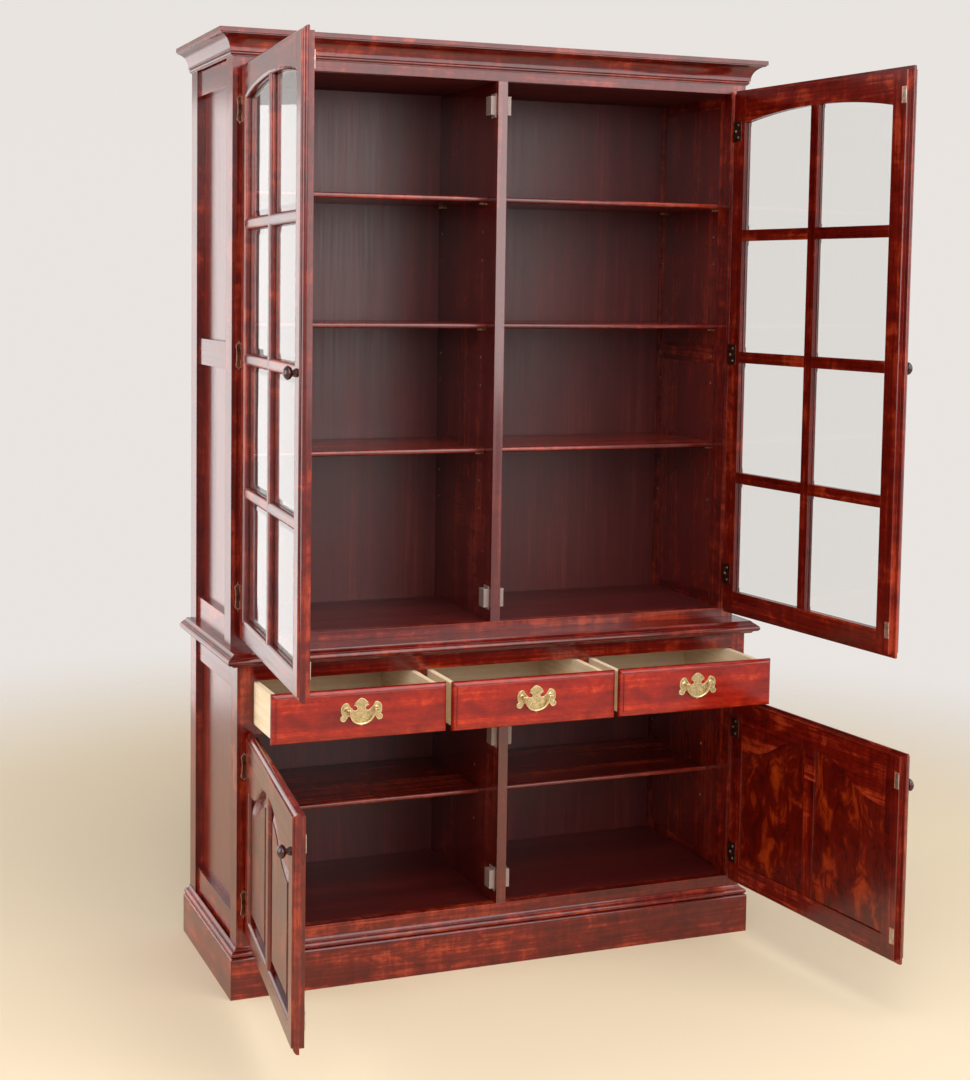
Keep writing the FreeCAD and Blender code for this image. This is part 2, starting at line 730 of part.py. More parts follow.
def door_blank(name, low, high, openings):
    """The whole lipped frame of a door, moulded round its outer and sight edges."""
    body = doc.addObject("PartDesign::Body", name)
    lip_z = (f"{low} - lip_lap", f"{high} + lip_lap")
    tongue = rectangle(TONGUE_X[0], f"{low} + rebate_end_gap", TONGUE_X[1], f"{high} - rebate_end_gap")
    pad(body, f"{name}_tongue", body_sketch(body, f"{name}_tongue_edge", tongue, f"-{DOOR_BACK}"), "tongue_thick")
    lip = rectangle(LIP_X[0], lip_z[0], LIP_X[1], lip_z[1])
    lip_sketch = body_sketch(body, f"{name}_lip_edge", lip, f"-{LIP_BACK}")
    slab = pad(body, f"{name}_lip", lip_sketch, "lip_thick - edge_step")
    step_y = number(f"{DOOR_FRONT} + edge_step")
    rounded = soften(body, f"{name}_outer_round", slab, lambda edge: on_face(edge, step_y), "edge_round")
    inset = "edge_round + edge_set"
    face = rectangle(
        f"{LIP_X[0]} + {inset}", f"{lip_z[0]} + {inset}", f"{LIP_X[1]} - {inset}", f"{lip_z[1]} - {inset}"
    )
    face_sketch = body_sketch(body, f"{name}_face_edge", face, f"-({DOOR_FRONT} + edge_step)")
    raised = pad(body, f"{name}_face", face_sketch, "edge_step")
    outer = raised.Shape.BoundBox
    last = raised
    for index, corners in enumerate(openings):
        sight = body_sketch(body, f"{name}_sight_edge_{index}", corners, f"-{DOOR_FRONT}")
        last = pocket(body, f"{name}_sight_{index}", sight)
    front_y = number(DOOR_FRONT)
    stile = number("stile_wide")
    foot, head = number(f"{low} - lip_lap + {inset}"), number(f"{high} + lip_lap - {inset}")

    def sight_edge(edge):
        box = edge.BoundBox
        in_x = box.XMin > outer.XMin + stile - 1 and box.XMax < outer.XMax - stile + 1
        return on_face(edge, front_y) and in_x and box.ZMin > foot + 1 and box.ZMax < head - 1

    soften(body, f"{name}_sticking", last, sight_edge, "stick_round")
    return body


def frame_members(name, blank, low, high, foot, head_low, muntin=False):
    """Cut a moulded frame into stiles and rails, which meet at the stiles' edges."""
    deep = (f"{DOOR_FRONT} - 1", f"{DOOR_BACK} + 1")
    full = (f"{low} - lip_lap - 1", f"{high} + lip_lap + 1")
    foot_top = f"{low} - lip_lap + {foot}"
    shares = {
        "hinge_stile": ((f"{LIP_X[0]} - 1", SIGHT_X[0]), full),
        "free_stile": ((SIGHT_X[1], f"{LIP_X[1]} + 1"), full),
        "foot_rail": (SIGHT_X, (full[0], foot_top)),
        "head_rail": (SIGHT_X, (head_low, full[1])),
    }
    if muntin:
        muntin_x = (f"{SIGHT_MID} - muntin_wide / 2", f"{SIGHT_MID} + muntin_wide / 2")
        shares["muntin"] = (muntin_x, (foot_top, head_low))
    return [
        common(f"{name}_{member}", blank, block(f"{name}_{member}_share", x, deep, z))
        for member, (x, z) in shares.items()
    ]


def bevelled(body, name, base, y):
    """Bevel every front arris of a pane, wide across the glass and shallow into it."""
    feature = body.newObject("PartDesign::Chamfer", name)
    edges = [f"Edge{i}" for i, edge in enumerate(base.Shape.Edges, start=1) if on_face(edge, y)]
    feature.Base = (base, edges)
    feature.ChamferType = "Two distances"
    feature.setExpression("Size", tie("pane_bevel_deep"))
    feature.setExpression("Size2", tie("pane_bevel"))
    doc.recompute()


def upper_door():
    """Glazed door: lipped frame with an arched head, crossed bars and eight bevelled panes."""
    low, high = SILL_TOP, UPPER_TOP
    door_top, door_foot = f"({high} + lip_lap)", f"({low} - lip_lap)"
    sight_low = f"({door_foot} + upper_foot_rail)"
    crown = f"({door_top} - upper_head_rail)"
    half = f"(({SIGHT_X[1]} - ({SIGHT_X[0]})) / 2)"
    radius = f"(({half}^2 + arch_rise^2) / (2 * arch_rise))"
    spring = f"({crown} - arch_rise)"
    sight = [
        (SIGHT_X[0], sight_low),
        (SIGHT_X[1], sight_low),
        (SIGHT_X[1], spring),
        (SIGHT_X[0], spring, radius, 1),
    ]
    blank = door_blank("upper_blank", low, high, [sight])

    panes, slots = [], []
    pane_y = number("pane_front")
    for column in (0, 1):
        sight_x = (
            (SIGHT_X[0], f"{SIGHT_MID} - bar_wide / 2")
            if column == 0
            else (f"{SIGHT_MID} + bar_wide / 2", SIGHT_X[1])
        )
        x = (f"({sight_x[0]} - pane_housing)", f"({sight_x[1]} + pane_housing)")
        for row in range(4):
            bottom = f"({sight_low} + {row} * (pane_high + bar_wide) - pane_housing)"
            name = f"pane_{column}_{row}"
            if row < 3:
                top = f"({bottom} + pane_high + 2 * pane_housing)"
                corners = rectangle(x[0], bottom, x[1], top)
            else:
                centre = f"({crown} - {radius})"
                rim = f"({radius} + pane_housing)"
                tops = [f"({centre} + sqrt({rim}^2 - ({spot} - {SIGHT_MID})^2))" for spot in x]
                corners = [(x[0], bottom), (x[1], bottom), (x[1], tops[1]), (x[0], tops[0], rim, 1)]
            pane = doc.addObject("PartDesign::Body", name)
            glass = pad(
                pane, f"{name}_glass", body_sketch(pane, f"{name}_edge", corners, "-(pane_front + pane_thick)"),
                "pane_thick",
            )
            slots.append(prism(f"{name}_slot", corners, FACING_FRONT, "pane_thick", "-(pane_front + pane_thick)"))
            bevelled(pane, f"{name}_bevel", glass, pane_y)
            panes.append(pane)

    def bar_section(centre, upright):
        face, side, back = "bar_face / 2", "bar_wide / 2", DOOR_BACK
        front, reach = f"{DOOR_FRONT} + bar_set", "(bar_wide / 2 - bar_face / 2)"
        turn = 1 if upright else -1
        spots = [
            (face, front),
            (side, f"{front} + {reach}", reach, turn),
            (side, back),
            (f"-{side}", back),
            (f"-{side}", f"{front} + {reach}"),
            (f"-{face}", front, reach, turn),
        ]
        placed = [(f"{centre} + ({across})", deep, *arc) for across, deep, *arc in spots]
        return placed if upright else [(deep, across, *arc) for across, deep, *arc in placed]

    tall = f"{crown} - {sight_low} + 2 * stick_round"
    mullion_run = prism(
        "mullion_run", bar_section(SIGHT_MID, True), FLAT, tall, start=f"{sight_low} - stick_round"
    )
    framed_blank = cut("upper_frame_grooved", blank, slots)
    mullion = cut("mullion", mullion_run, [blank] + slots)
    bars = [mullion]
    length = f"{SIGHT_X[1]} - ({SIGHT_X[0]}) + 2 * stick_round"
    for row in (1, 2, 3):
        centre = f"{sight_low} + {row} * (pane_high + bar_wide) - bar_wide / 2"
        run = prism(
            f"bar_run_{row}", bar_section(centre, False), FACING_RIGHT, length, start=f"{SIGHT_X[0]} - stick_round"
        )
        bars.append(cut(f"bar_{row}", run, [blank, mullion_run] + slots))
    members = frame_members(
        "upper", framed_blank, low, high, "upper_foot_rail", f"{spring} - stick_round"
    )
    return {"frame": members, "bars": bars, "glass": panes}


def ogee_outline(x, foot, crown, out):
    """Panel outline with half of a cathedral arch: low and flat at the stile x[0], rising
    through two equal arcs to the muntin x[1]. out moves the whole outline outwards."""
    reach = f"((({x[1]}) - ({x[0]}) - ogee_shoulder) / 2)"
    rise = "(ogee_rise / 2)"
    radius = f"(({reach}^2 + {rise}^2) / (2 * {rise}))"
    sine, cosine = f"({reach} / {radius})", f"(({radius} - {rise}) / {radius})"
    upper = f"({radius} + ({out}))"
    lower = f"({radius} - ({out}))"
    turn_x = f"{x[1]} - {upper} * {sine}"
    turn_z = f"{crown} - {radius} + {upper} * {cosine}"
    outer = number(out) > 0
    end_x = f"{x[1]}" if outer else f"{x[1]} + ({out})"
    end_z = f"{crown} + ({out})" if outer else f"{crown} - {radius} + sqrt({upper}^2 - ({out})^2)"
    corners = [(f"{x[0]} - ({out})", f"{foot} - ({out})"), (f"{x[1]} + ({out})", f"{foot} - ({out})")]
    if outer:
        corners.append((f"{x[1]} + ({out})", end_z))
    corners += [
        (end_x, end_z),
        (turn_x, turn_z, upper, 1),
        (f"{x[0]} + ogee_shoulder", f"{crown} - ogee_rise + ({out})", lower, -1),
        (f"{x[0]} - ({out})", f"{crown} - ogee_rise + ({out})"),
    ]
    return corners


def mirrored(corners, middle):
    """The same outline reflected about a line x = middle, in the same turning sense."""
    flipped = [(f"2 * {middle} - ({corner[0]})",) + tuple(corner[1:2]) for corner in corners]
    arcs = [corner[2:] for corner in corners]
    order = list(range(len(corners)))[::-1]
    result = []
    for position in order:
        arc = arcs[(position + 1) % len(corners)]
        result.append(flipped[position] + tuple(arc))
    return result


def lower_door():
    """Panelled door: lipped frame, muntin and two fielded panels under a cathedral arch."""
    low, high = "floor_top", LOWER_TOP
    foot = f"({low} - lip_lap + lower_foot_rail)"
    crown = f"({high} + lip_lap - lower_head_rail)"
    x = (SIGHT_X[0], f"{SIGHT_MID} - muntin_wide / 2")
    first = ogee_outline(x, foot, crown, "0")
    blank = door_blank("lower_blank", low, high, [first, mirrored(first, SIGHT_MID)])
    panels, slots = [], []
    slab_back = f"({DOOR_BACK} - panel_back_set)"
    slab_front = f"({slab_back} - panel_thick)"
    for side in ("hinge", "free"):
        def shape(out):
            corners = ogee_outline(x, foot, crown, out)
            return corners if side == "hinge" else mirrored(corners, SIGHT_MID)

        name = f"{side}_panel"
        panel = doc.addObject("PartDesign::Body", name)
        slab_edge = body_sketch(panel, f"{name}_slab_edge", shape("housing"), f"-{slab_back}")
        pad(panel, f"{name}_slab", slab_edge, "panel_thick")
        margin, field = "-panel_margin", "-(panel_margin + panel_bevel)"
        wide = body_sketch(panel, f"{name}_margin_edge", shape(margin), f"-{slab_front}")
        bevel_top = f"-({slab_front} - panel_bevel_high)"
        narrow = body_sketch(panel, f"{name}_bevel_edge", shape(field), bevel_top)
        bevel = panel.newObject("PartDesign::AdditiveLoft", f"{name}_bevel")
        bevel.Profile = wide
        bevel.Sections = [narrow]
        bevel.Ruled = True
        doc.recompute()
        raised = body_sketch(panel, f"{name}_field_edge", shape(f"{field} - 1"), bevel_top)
        pad(panel, f"{name}_field", raised, "panel_step")
        panels.append(panel)
        slots.append(prism(f"{name}_slot", shape("housing"), FACING_FRONT, "panel_thick", f"-{slab_back}"))
    grooved = cut("lower_frame_grooved", blank, slots)
    head_low = f"{crown} - ogee_rise - stick_round"
    members = frame_members("lower", grooved, low, high, "lower_foot_rail", head_low, muntin=True)
    return {"frame": members, "panels": panels}


def knob(name, z):
    """Turned wooden knob on the free stile."""
    x = f"({LIP_X[1]} - knob_in)"
    body = doc.addObject("PartDesign::Body", name)
    rim, dome = "(knob_reach - knob_dome)", "((knob_round^2 + knob_dome^2) / (2 * knob_dome))"
    corners = [
        ("0", "0"),
        ("knob_foot", "0"),
        ("knob_foot", "2"),
        ("knob_neck", "knob_waist"),
        ("knob_round", rim, "0.8 * knob_round", 1),
        ("0", "knob_reach", dome, 1),
    ]
    section = body_sketch(body, f"{name}_section", corners, role="XY_Plane")
    turned = body.newObject("PartDesign::Revolution", f"{name}_turned")
    turned.Profile = section
    turned.ReferenceAxis = (section, ["V_Axis"])
    turned.Angle = 360
    body.Placement.Rotation = Rotation(Vector(1, 0, 0), 180)
    doc.recompute()
    return put(body, x, DOOR_FRONT, z)


def hinge_wing(name, z):
    """Fixed half of a hinge: a shaped wing on the post, two knuckles and the pin."""
    half, waist = "wing_high / 2", "wing_waist"
    inner = "-(knuckle_round + 0.4)"
    outer = "-wing_reach"
    shoulder = "(knuckle_high / 2)"
    mid = "((-wing_reach - knuckle_round - 0.4) / 2)"
    corners = [
        (inner, f"{z} + {shoulder}"),
        (f"{mid} + 2", f"{z} + {shoulder} + 3", "5", 1),
        (mid, f"{z} + {half}", "22", -1),
        (f"{mid} - 2", f"{z} + {shoulder} + 3", "22", -1),
        (outer, f"{z} + {shoulder} - 3", "7", 1),
        (f"{outer} + {waist} / 2", z, "60", -1),
        (outer, f"{z} - {shoulder} + 3", "60", -1),
        (f"{mid} - 2", f"{z} - {shoulder} - 3", "7", 1),
        (mid, f"{z} - {half}", "22", -1),
        (f"{mid} + 2", f"{z} - {shoulder} - 3", "22", -1),
        (inner, f"{z} - {shoulder}", "5", 1),
    ]
    plate = prism(f"{name}_plate", corners, FACING_FRONT, "wing_thick", "-pin_ahead")
    pieces = [plate]
    span = "(knuckle_high / 2 - knuckle_mid / 2 - knuckle_gap)"
    for end, start in (("low", f"{z} - knuckle_high / 2"), ("top", f"{z} + knuckle_high / 2 - {span}")):
        pieces.append(rod(f"{name}_{end}_knuckle", "knuckle_round", span, "0", "0", start))
        strap_x = ("-(knuckle_round + 2)", "0")
        pieces.append(block(f"{name}_{end}_strap", strap_x, ("0", "pin_ahead"), (start, f"{start} + {span}")))
    pieces.append(rod(f"{name}_pin", "hinge_pin_round", "knuckle_high", "0", "0", f"{z} - knuckle_high / 2"))
    return fuse(name, pieces)


def hinge_leaf(name, z):
    """Moving half of a hinge: a bored knuckle and a leaf wrapped round the rebate."""
    near, rebate = "pin_gap", TONGUE_X[0]
    y0, y1 = LIP_BACK, DOOR_BACK
    t = "leaf_thick"
    corners = [
        (near, y0),
        (rebate, y0),
        (rebate, y1),
        (f"{rebate} + leaf_reach", y1),
        (f"{rebate} + leaf_reach", f"{y1} + {t}"),
        (f"{rebate} - {t}", f"{y1} + {t}"),
        (f"{rebate} - {t}", f"{y0} + {t}"),
        (near, f"{y0} + {t}"),
    ]
    leaf = prism(f"{name}_leaf", corners, FLAT, "knuckle_high", start=f"{z} - knuckle_high / 2")
    low = f"{z} - knuckle_mid / 2"
    knuckle = rod(f"{name}_knuckle", "knuckle_round", "knuckle_mid", "0", "0", low)
    strap = block(f"{name}_strap", ("0", near), ("0", f"{y0} + {t}"), (low, f"{low} + knuckle_mid"))
    bore = rod(f"{name}_bore", "hinge_pin_round + hinge_pin_fit", "knuckle_mid", "0", "0", low)
    return cut(name, fuse(f"{name}_solid", [leaf, knuckle, strap]), [bore])


DOORS = {
    "upper": {
        "front": HUTCH_FRONT,
        "low": SILL_TOP,
        "high": UPPER_TOP,
        "knob": f"{SILL_TOP} + upper_knob_up",
        "hinges": [
            f"{SILL_TOP} - lip_lap + upper_hinge_in",
            f"({SILL_TOP} + {UPPER_TOP}) / 2",
            f"{UPPER_TOP} + lip_lap - upper_hinge_in",
        ],
    },
    "lower": {
        "front": FRONT,
        "low": "floor_top",
        "high": LOWER_TOP,
        "knob": "floor_top + lower_knob_up",
        "hinges": ["floor_top - lip_lap + lower_hinge_in", f"{LOWER_TOP} + lip_lap - lower_hinge_in"],
    },
}


def strike_plates(name, low, high):
    """Plates inside the free stile, one opposite each catch."""
    x = (f"{TONGUE_X[1]} - strike_wide", TONGUE_X[1])
    y = (DOOR_BACK, f"{DOOR_BACK} + strike_thick")
    centres = (f"{low} + catch_end", f"{high} - catch_end")
    return [
        block(f"{name}_strike_{i}", x, y, (f"{z} - strike_high / 2", f"{z} + strike_high / 2"))
        for i, z in enumerate(centres)
    ]


def catches(name, front, low, high):
    """Catches on both faces of a divider, with their base plates."""
    y_low = f"{front} - pin_ahead + {DOOR_BACK} + strike_thick + catch_gap"
    y = (y_low, f"{y_low} + catch_deep")
    pieces = []
    plate_x = (DIVIDER, f"{DIVIDER} + catch_plate_thick")
    block_x = (plate_x[1], f"{DIVIDER} + catch_proud")
    for end, z in (("low", f"{low} + catch_end"), ("top", f"{high} - catch_end")):
        plate_z = (f"{z} - catch_plate_high / 2", f"{z} + catch_plate_high / 2")
        block_z = (f"{z} - catch_high / 2", f"{z} + catch_high / 2")
        pieces += both_sides(f"{name}_{end}_catch_plate", plate_x, y, plate_z)
        pieces += both_sides(f"{name}_{end}_catch", block_x, y, block_z)
    return pieces


def hang(name, pieces, pin_y, side, open_angle=None):
    """Pieces of a left-hand door, or their mirror image, placed at the hinge pin and opened."""
    hung = gather(name if side == "left" else f"{name}_drawn", pieces)
    if side == "right":
        drawn, hung = hung, doc.addObject("Part::Mirroring", name)
        hung.Source = drawn
        hung.Normal = Vector(1, 0, 0)
    way = "-" if side == "left" else ""
    if open_angle:
        hung.Placement.Rotation = Rotation(Vector(0, 0, 1), 1)
        hung.setExpression("Placement.Rotation.Angle", tie(f"{way}{open_angle}"))
    return put(hung, f"{way}{PIN_X}", pin_y)


def doors():
    """Both pairs of doors with their knobs, hinges, strikes and catches."""
    made = {"upper": upper_door(), "lower": lower_door()}
    wings, blocks = [], []
    for level, facts in DOORS.items():
        pieces = made[level]
        pieces["knob"] = [knob(f"{level}_knob", facts["knob"])]
        pieces["hinge_leaves"] = [hinge_leaf(f"{level}_leaf_{i}", z) for i, z in enumerate(facts["hinges"])]
        pieces["strikes"] = strike_plates(level, facts["low"], facts["high"])
        pin_y = f"{facts['front']} - pin_ahead"
        for side in ("left", "right"):
            for part, solids in pieces.items():
                hung = hang(f"{level}_door_{side}_{part}", solids, pin_y, side, f"{level}_{side}_open")
                hung.Label = hung.Name
                nodes.append(hung)
        drawn = [hinge_wing(f"{level}_wing_{i}", z) for i, z in enumerate(facts["hinges"])]
        wings += [hang(f"{level}_wings_{side}", drawn, pin_y, side) for side in ("left", "right")]
        blocks += catches(level, facts["front"], facts["low"], facts["high"])
    node("hinge_wings", wings)
    node("door_catches", blocks)


def drawer_front(name):
    """Lipped drawer front with a moulded edge, drawn about the middle of its opening."""
    body = doc.addObject("PartDesign::Body", name)
    half = f"({BAY} / 2 + lip_lap)"
    low, high = f"({DRAWER_LOW} - lip_lap)", f"({DRAWER_TOP} + lip_lap)"
    tongue_half = f"({BAY} / 2 - drawer_gap)"
    tongue = rectangle(
        f"-{tongue_half}", f"{DRAWER_LOW} + drawer_gap", tongue_half, f"{DRAWER_TOP} - drawer_top_gap"
    )
    tongue_edge = body_sketch(body, f"{name}_tongue_edge", tongue, "-front_tongue")
    pad(body, f"{name}_tongue", tongue_edge, "front_tongue")
    lip_edge = body_sketch(body, f"{name}_lip_edge", rectangle(f"-{half}", low, half, high))
    slab = pad(body, f"{name}_lip", lip_edge, "front_lip_thick - front_edge_step")
    step_y = number("front_edge_step - front_lip_thick")
    soften(body, f"{name}_round", slab, lambda edge: on_face(edge, step_y), "front_edge_round")
    inset = "(front_edge_round + edge_set)"
    face = rectangle(f"{inset} - {half}", f"{low} + {inset}", f"{half} - {inset}", f"{high} - {inset}")
    face_edge = body_sketch(body, f"{name}_face_edge", face, "front_lip_thick - front_edge_step")
    pad(body, f"{name}_face", face_edge, "front_edge_step")
    return body


def drawer_box(name):
    """Sides, back and bottom of a drawer, behind its front."""
    half = f"({BAY} / 2 - drawer_gap)"
    z = (f"{DRAWER_LOW} + drawer_lift", f"{DRAWER_TOP} - drawer_top_gap")
    run = ("front_tongue", "front_tongue + box_deep")
    floor_z = (f"{z[0]} + box_floor_up", f"{z[0]} + box_floor_up + box_floor")
    floor_x = (f"-{half} + box_thick - box_groove", f"{half} - box_thick + box_groove")
    bottom = block(f"{name}_bottom", floor_x, run, floor_z)
    sides = both_sides(f"{name}_side", (f"{half} - box_thick", half), run, z)
    back_y = (f"{run[1]} - box_thick", run[1])
    back = block(f"{name}_back", (f"-{half} + box_thick", f"{half} - box_thick"), back_y, z)
    grooved = [cut(f"{side.Name}_grooved", side, [bottom]) for side in sides + [back]]
    return grooved + [bottom]


PULL_FACE = "(-front_lip_thick - plate_thick)"


def pull_plate(name, z):
    """Bat-wing back plate with two ball-headed posts that carry the bail. The outline is
    drawn for a half width of 45 and grows with the plate."""
    right = [
        ("0", "-35"),
        ("4.2", "-31", "8", 1),
        ("16", "-26", "22", 1),
        ("25", "-14.5", "24", 1),
        ("29.5", "-15.5", "3.5", -1),
        ("33", "-20.5", "9", 1),
        ("39.5", "-23.5", "4.5", 1),
        ("45", "-17.5", "5.5", 1),
        ("40", "-12", "5", 1),
        ("43.3", "0", "14", 1),
        ("35", "13", "12", 1),
        ("28", "12", "6", 1),
        ("15", "-2.5", "26", -1),
        ("9", "1", "4.5", -1),
        ("11", "5", "3", -1),
        ("16", "7.3", "6", -1),
        ("9.5", "17", "12", 1),
        ("0", "22", "13", 1),
    ]
    left = [(f"-{x}", up, *right[index + 1][2:]) for index, (x, up, *_) in enumerate(right[:-1])]
    grown = "plate_half / 45"
    corners = []
    for x, up, *arc in right[1:] + left[::-1]:
        turned = [f"{arc[0]} * {grown}", arc[1]] if arc else []
        corners.append((f"{x} * {grown}", f"{up} * {grown} + {z}", *turned))
    body = doc.addObject("PartDesign::Body", name)
    edge = body_sketch(body, f"{name}_edge", corners, "front_lip_thick")
    pad(body, f"{name}_sheet", edge, "plate_thick")
    posts = []
    at = f"{PULL_FACE} - bail_out"
    for side, way in (("left", -1), ("right", 1)):
        x = f"({way}) * pull_half"
        stem = rod(f"{name}_{side}_stem", "post_stem", "bail_out", x, PULL_FACE, z, Vector(0, -1, 0))
        ball = doc.addObject("Part::Sphere", f"{name}_{side}_ball")
        ball.setExpression("Radius", tie("post_round"))
        solid = fuse(f"{name}_{side}_blank", [stem, put(ball, x, at, z)])
        start = f"({way}) * (pull_half - post_round - bail_pivot_gap)"
        depth = "bail_pivot_in + 2 * bail_pivot_gap"
        radius = "bail_pivot + bail_fit"
        socket = rod(f"{name}_{side}_socket", radius, depth, start, at, z, Vector(way, 0, 0))
        posts.append(cut(f"{name}_{side}_post", solid, [socket]))
    return [body] + posts


def pull_bail(name, z):
    """Drop handle bent from wire, with a thinner pivot at each end. It is drawn hanging
    straight down from its pivots, and then swung in until its bow rests on the plate."""
    bow = doc.addObject("Part::Torus", f"{name}_bow")
    bow.setExpression("Radius1", tie("bail_half"))
    bow.setExpression("Radius2", tie("bail_wire"))
    bow.Angle3 = 180
    bow.Placement.Rotation = Rotation(Vector(1, 0, 0), -90)
    pieces = [put(bow, z="-bail_drop")]
    for side, way in (("left", -1), ("right", 1)):
        x = f"({way}) * bail_half"
        pieces.append(rod(f"{name}_{side}_drop", "bail_wire", "bail_drop", x, "0", "-bail_drop"))
        elbow = doc.addObject("Part::Sphere", f"{name}_{side}_elbow")
        elbow.setExpression("Radius", tie("bail_wire"))
        pieces.append(put(elbow, x))
        length = "pull_half - post_round + bail_pivot_in - bail_half"
        pieces.append(rod(f"{name}_{side}_pivot", "bail_pivot", length, x, "0", "0", Vector(way, 0, 0)))
    hanging = fuse(name, pieces)
    swing = "asin((bail_out - bail_wire - bail_rest_gap) / (bail_drop + bail_half))"
    hanging.Placement.Rotation = Rotation(Vector(1, 0, 0), 1)
    hanging.setExpression("Placement.Rotation.Angle", tie(swing))
    return put(hanging, "0", f"{PULL_FACE} - bail_out", z)


def drawers():
    """Three drawers, each with its front, its box, its pull and its bail."""
    z = f"({DRAWER_LOW} - lip_lap + pull_up)"
    made = {
        "front": [drawer_front("drawer_front")],
        "box": drawer_box("drawer_box"),
        "pull": pull_plate("pull_plate", z),
        "bail": [pull_bail("pull_bail", z)],
    }
    for side, way in (("left", -1), ("middle", 0), ("right", 1)):
        for part, solids in made.items():
            piece = node(f"drawer_{side}_{part}", solids)
            put(piece, f"({way}) * ({BAY} + divider_thick)", f"{FRONT} - drawer_stand - {side}_pull_out")


def finish():
    """Check every object and every sub-part, then write one file for each sub-part."""
    doc.recompute()
    for thing in doc.Objects:
        if {"Invalid", "Error"} & set(thing.State):
            raise RuntimeError(f"{thing.Name} is {thing.State}")
    names = [piece.Label for piece in nodes]
    if len(set(names)) != len(names):
        raise RuntimeError("two sub-parts share a name")
    for piece in nodes:
        if piece.Shape.isNull() or not piece.Shape.isValid():
            raise RuntimeError(f"{piece.Label} has no valid shape")
    os.makedirs("parts", exist_ok=True)
    for piece in nodes:
        piece.Shape.exportStep(f"parts/{piece.Label}.step")
    print(f"{len(nodes)} sub-parts, {sum(len(piece.Shape.Solids) for piece in nodes)} solids")


plinth()
base_bead()
pins = base()
waist()
pins += hutch()
node("shelf_pins", pins)
cornice()
doors()
drawers()
finish()
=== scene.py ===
# %% [markdown]
# # A mahogany display cabinet
# The cabinet is a hutch with glazed doors on a base with drawers and panelled doors. Its
# boards, doors and fittings were drawn to size beforehand. This lesson dresses them: it
# gives each board its own run of figure, builds the lacquer, brass and glass, and adds the
# small fittings that are too fine for the drawing. Lengths are in metres.

# %% The parts drawn beforehand
import json
import math

import bmesh
import bpy
import numpy as np
from mathutils import Matrix, Vector


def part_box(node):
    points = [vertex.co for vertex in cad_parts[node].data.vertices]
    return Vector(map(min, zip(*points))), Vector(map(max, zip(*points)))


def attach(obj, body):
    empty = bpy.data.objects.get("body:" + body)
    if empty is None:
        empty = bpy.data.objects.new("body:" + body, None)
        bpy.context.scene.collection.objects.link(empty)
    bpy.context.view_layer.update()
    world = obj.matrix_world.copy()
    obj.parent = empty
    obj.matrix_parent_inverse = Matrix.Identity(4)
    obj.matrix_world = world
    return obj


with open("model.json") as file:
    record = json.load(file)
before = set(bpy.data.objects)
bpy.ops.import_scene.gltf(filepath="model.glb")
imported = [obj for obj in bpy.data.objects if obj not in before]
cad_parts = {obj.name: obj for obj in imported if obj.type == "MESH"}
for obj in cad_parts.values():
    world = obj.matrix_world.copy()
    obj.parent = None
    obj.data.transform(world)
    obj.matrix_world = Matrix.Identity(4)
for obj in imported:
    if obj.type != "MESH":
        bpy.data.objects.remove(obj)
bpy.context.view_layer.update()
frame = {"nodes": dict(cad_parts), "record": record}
nodes = frame["nodes"]

# %% [markdown]
# ## Boards
# A cabinet is cut from many boards, and the figure of each runs along its own length. A
# pattern on plain object coordinates would run straight through every joint and lie askew
# on an open door. So the boards of a part are found first. A part's mesh lists its solids
# one after another, and a solid is complete where every edge so far has met its opposite.

# %% Find the boards of a part
def boards(mesh):
    """Split the triangles of a part into its closed solids, as lists of polygon numbers."""
    places = np.empty(len(mesh.vertices) * 3)
    mesh.vertices.foreach_get("co", places)
    _, same = np.unique(places.reshape(-1, 3).round(6), axis=0, return_inverse=True)
    same = same.ravel()
    unmet, solid = set(), []
    for polygon in mesh.polygons:
        solid.append(polygon.index)
        corners = [int(same[v]) for v in polygon.vertices]
        for pair in zip(corners, corners[1:] + corners[:1]):
            if pair[::-1] in unmet:
                unmet.remove(pair[::-1])
            else:
                unmet.add(pair)
        if not unmet:
            yield solid
            solid = []
    if solid:
        yield solid


print(len(list(boards(nodes["drawer_left_box"].data))), "solids in a drawer box")

# %% [markdown]
# ## The figure of each board
# Each board gets its own coordinates, stored as an attribute: along the board, across it
# and through it. Its longest side is its length, except in backs and panels, whose figure
# stands upright whatever their shape. A part that stands askew, such as an open door, is
# turned square before it is measured. Every board starts at another place in the pattern,
# because two neighbours are never cut from the same spot of a tree.

# %% Lay the grain along each board
GRAIN = "grain"
UPRIGHT = 2
STANDING = ("_back", "_panels")
NEXT_BOARD, NEXT_PART = 0.37, 0.11


def facing(mesh):
    """The level direction that the largest flat faces of a part look in."""
    quarter, fine = 90, 10
    normals = np.empty(len(mesh.polygons) * 3)
    areas = np.empty(len(mesh.polygons))
    mesh.polygons.foreach_get("normal", normals)
    mesh.polygons.foreach_get("area", areas)
    normals = normals.reshape(-1, 3)
    level = np.abs(normals[:, 2]) < 0.02
    turns = np.degrees(np.arctan2(normals[level, 1], normals[level, 0])) % quarter
    steps = np.round(turns * fine).astype(int) % (quarter * fine)
    best = np.bincount(steps, weights=areas[level], minlength=quarter * fine).argmax()
    return math.radians(best / fine)


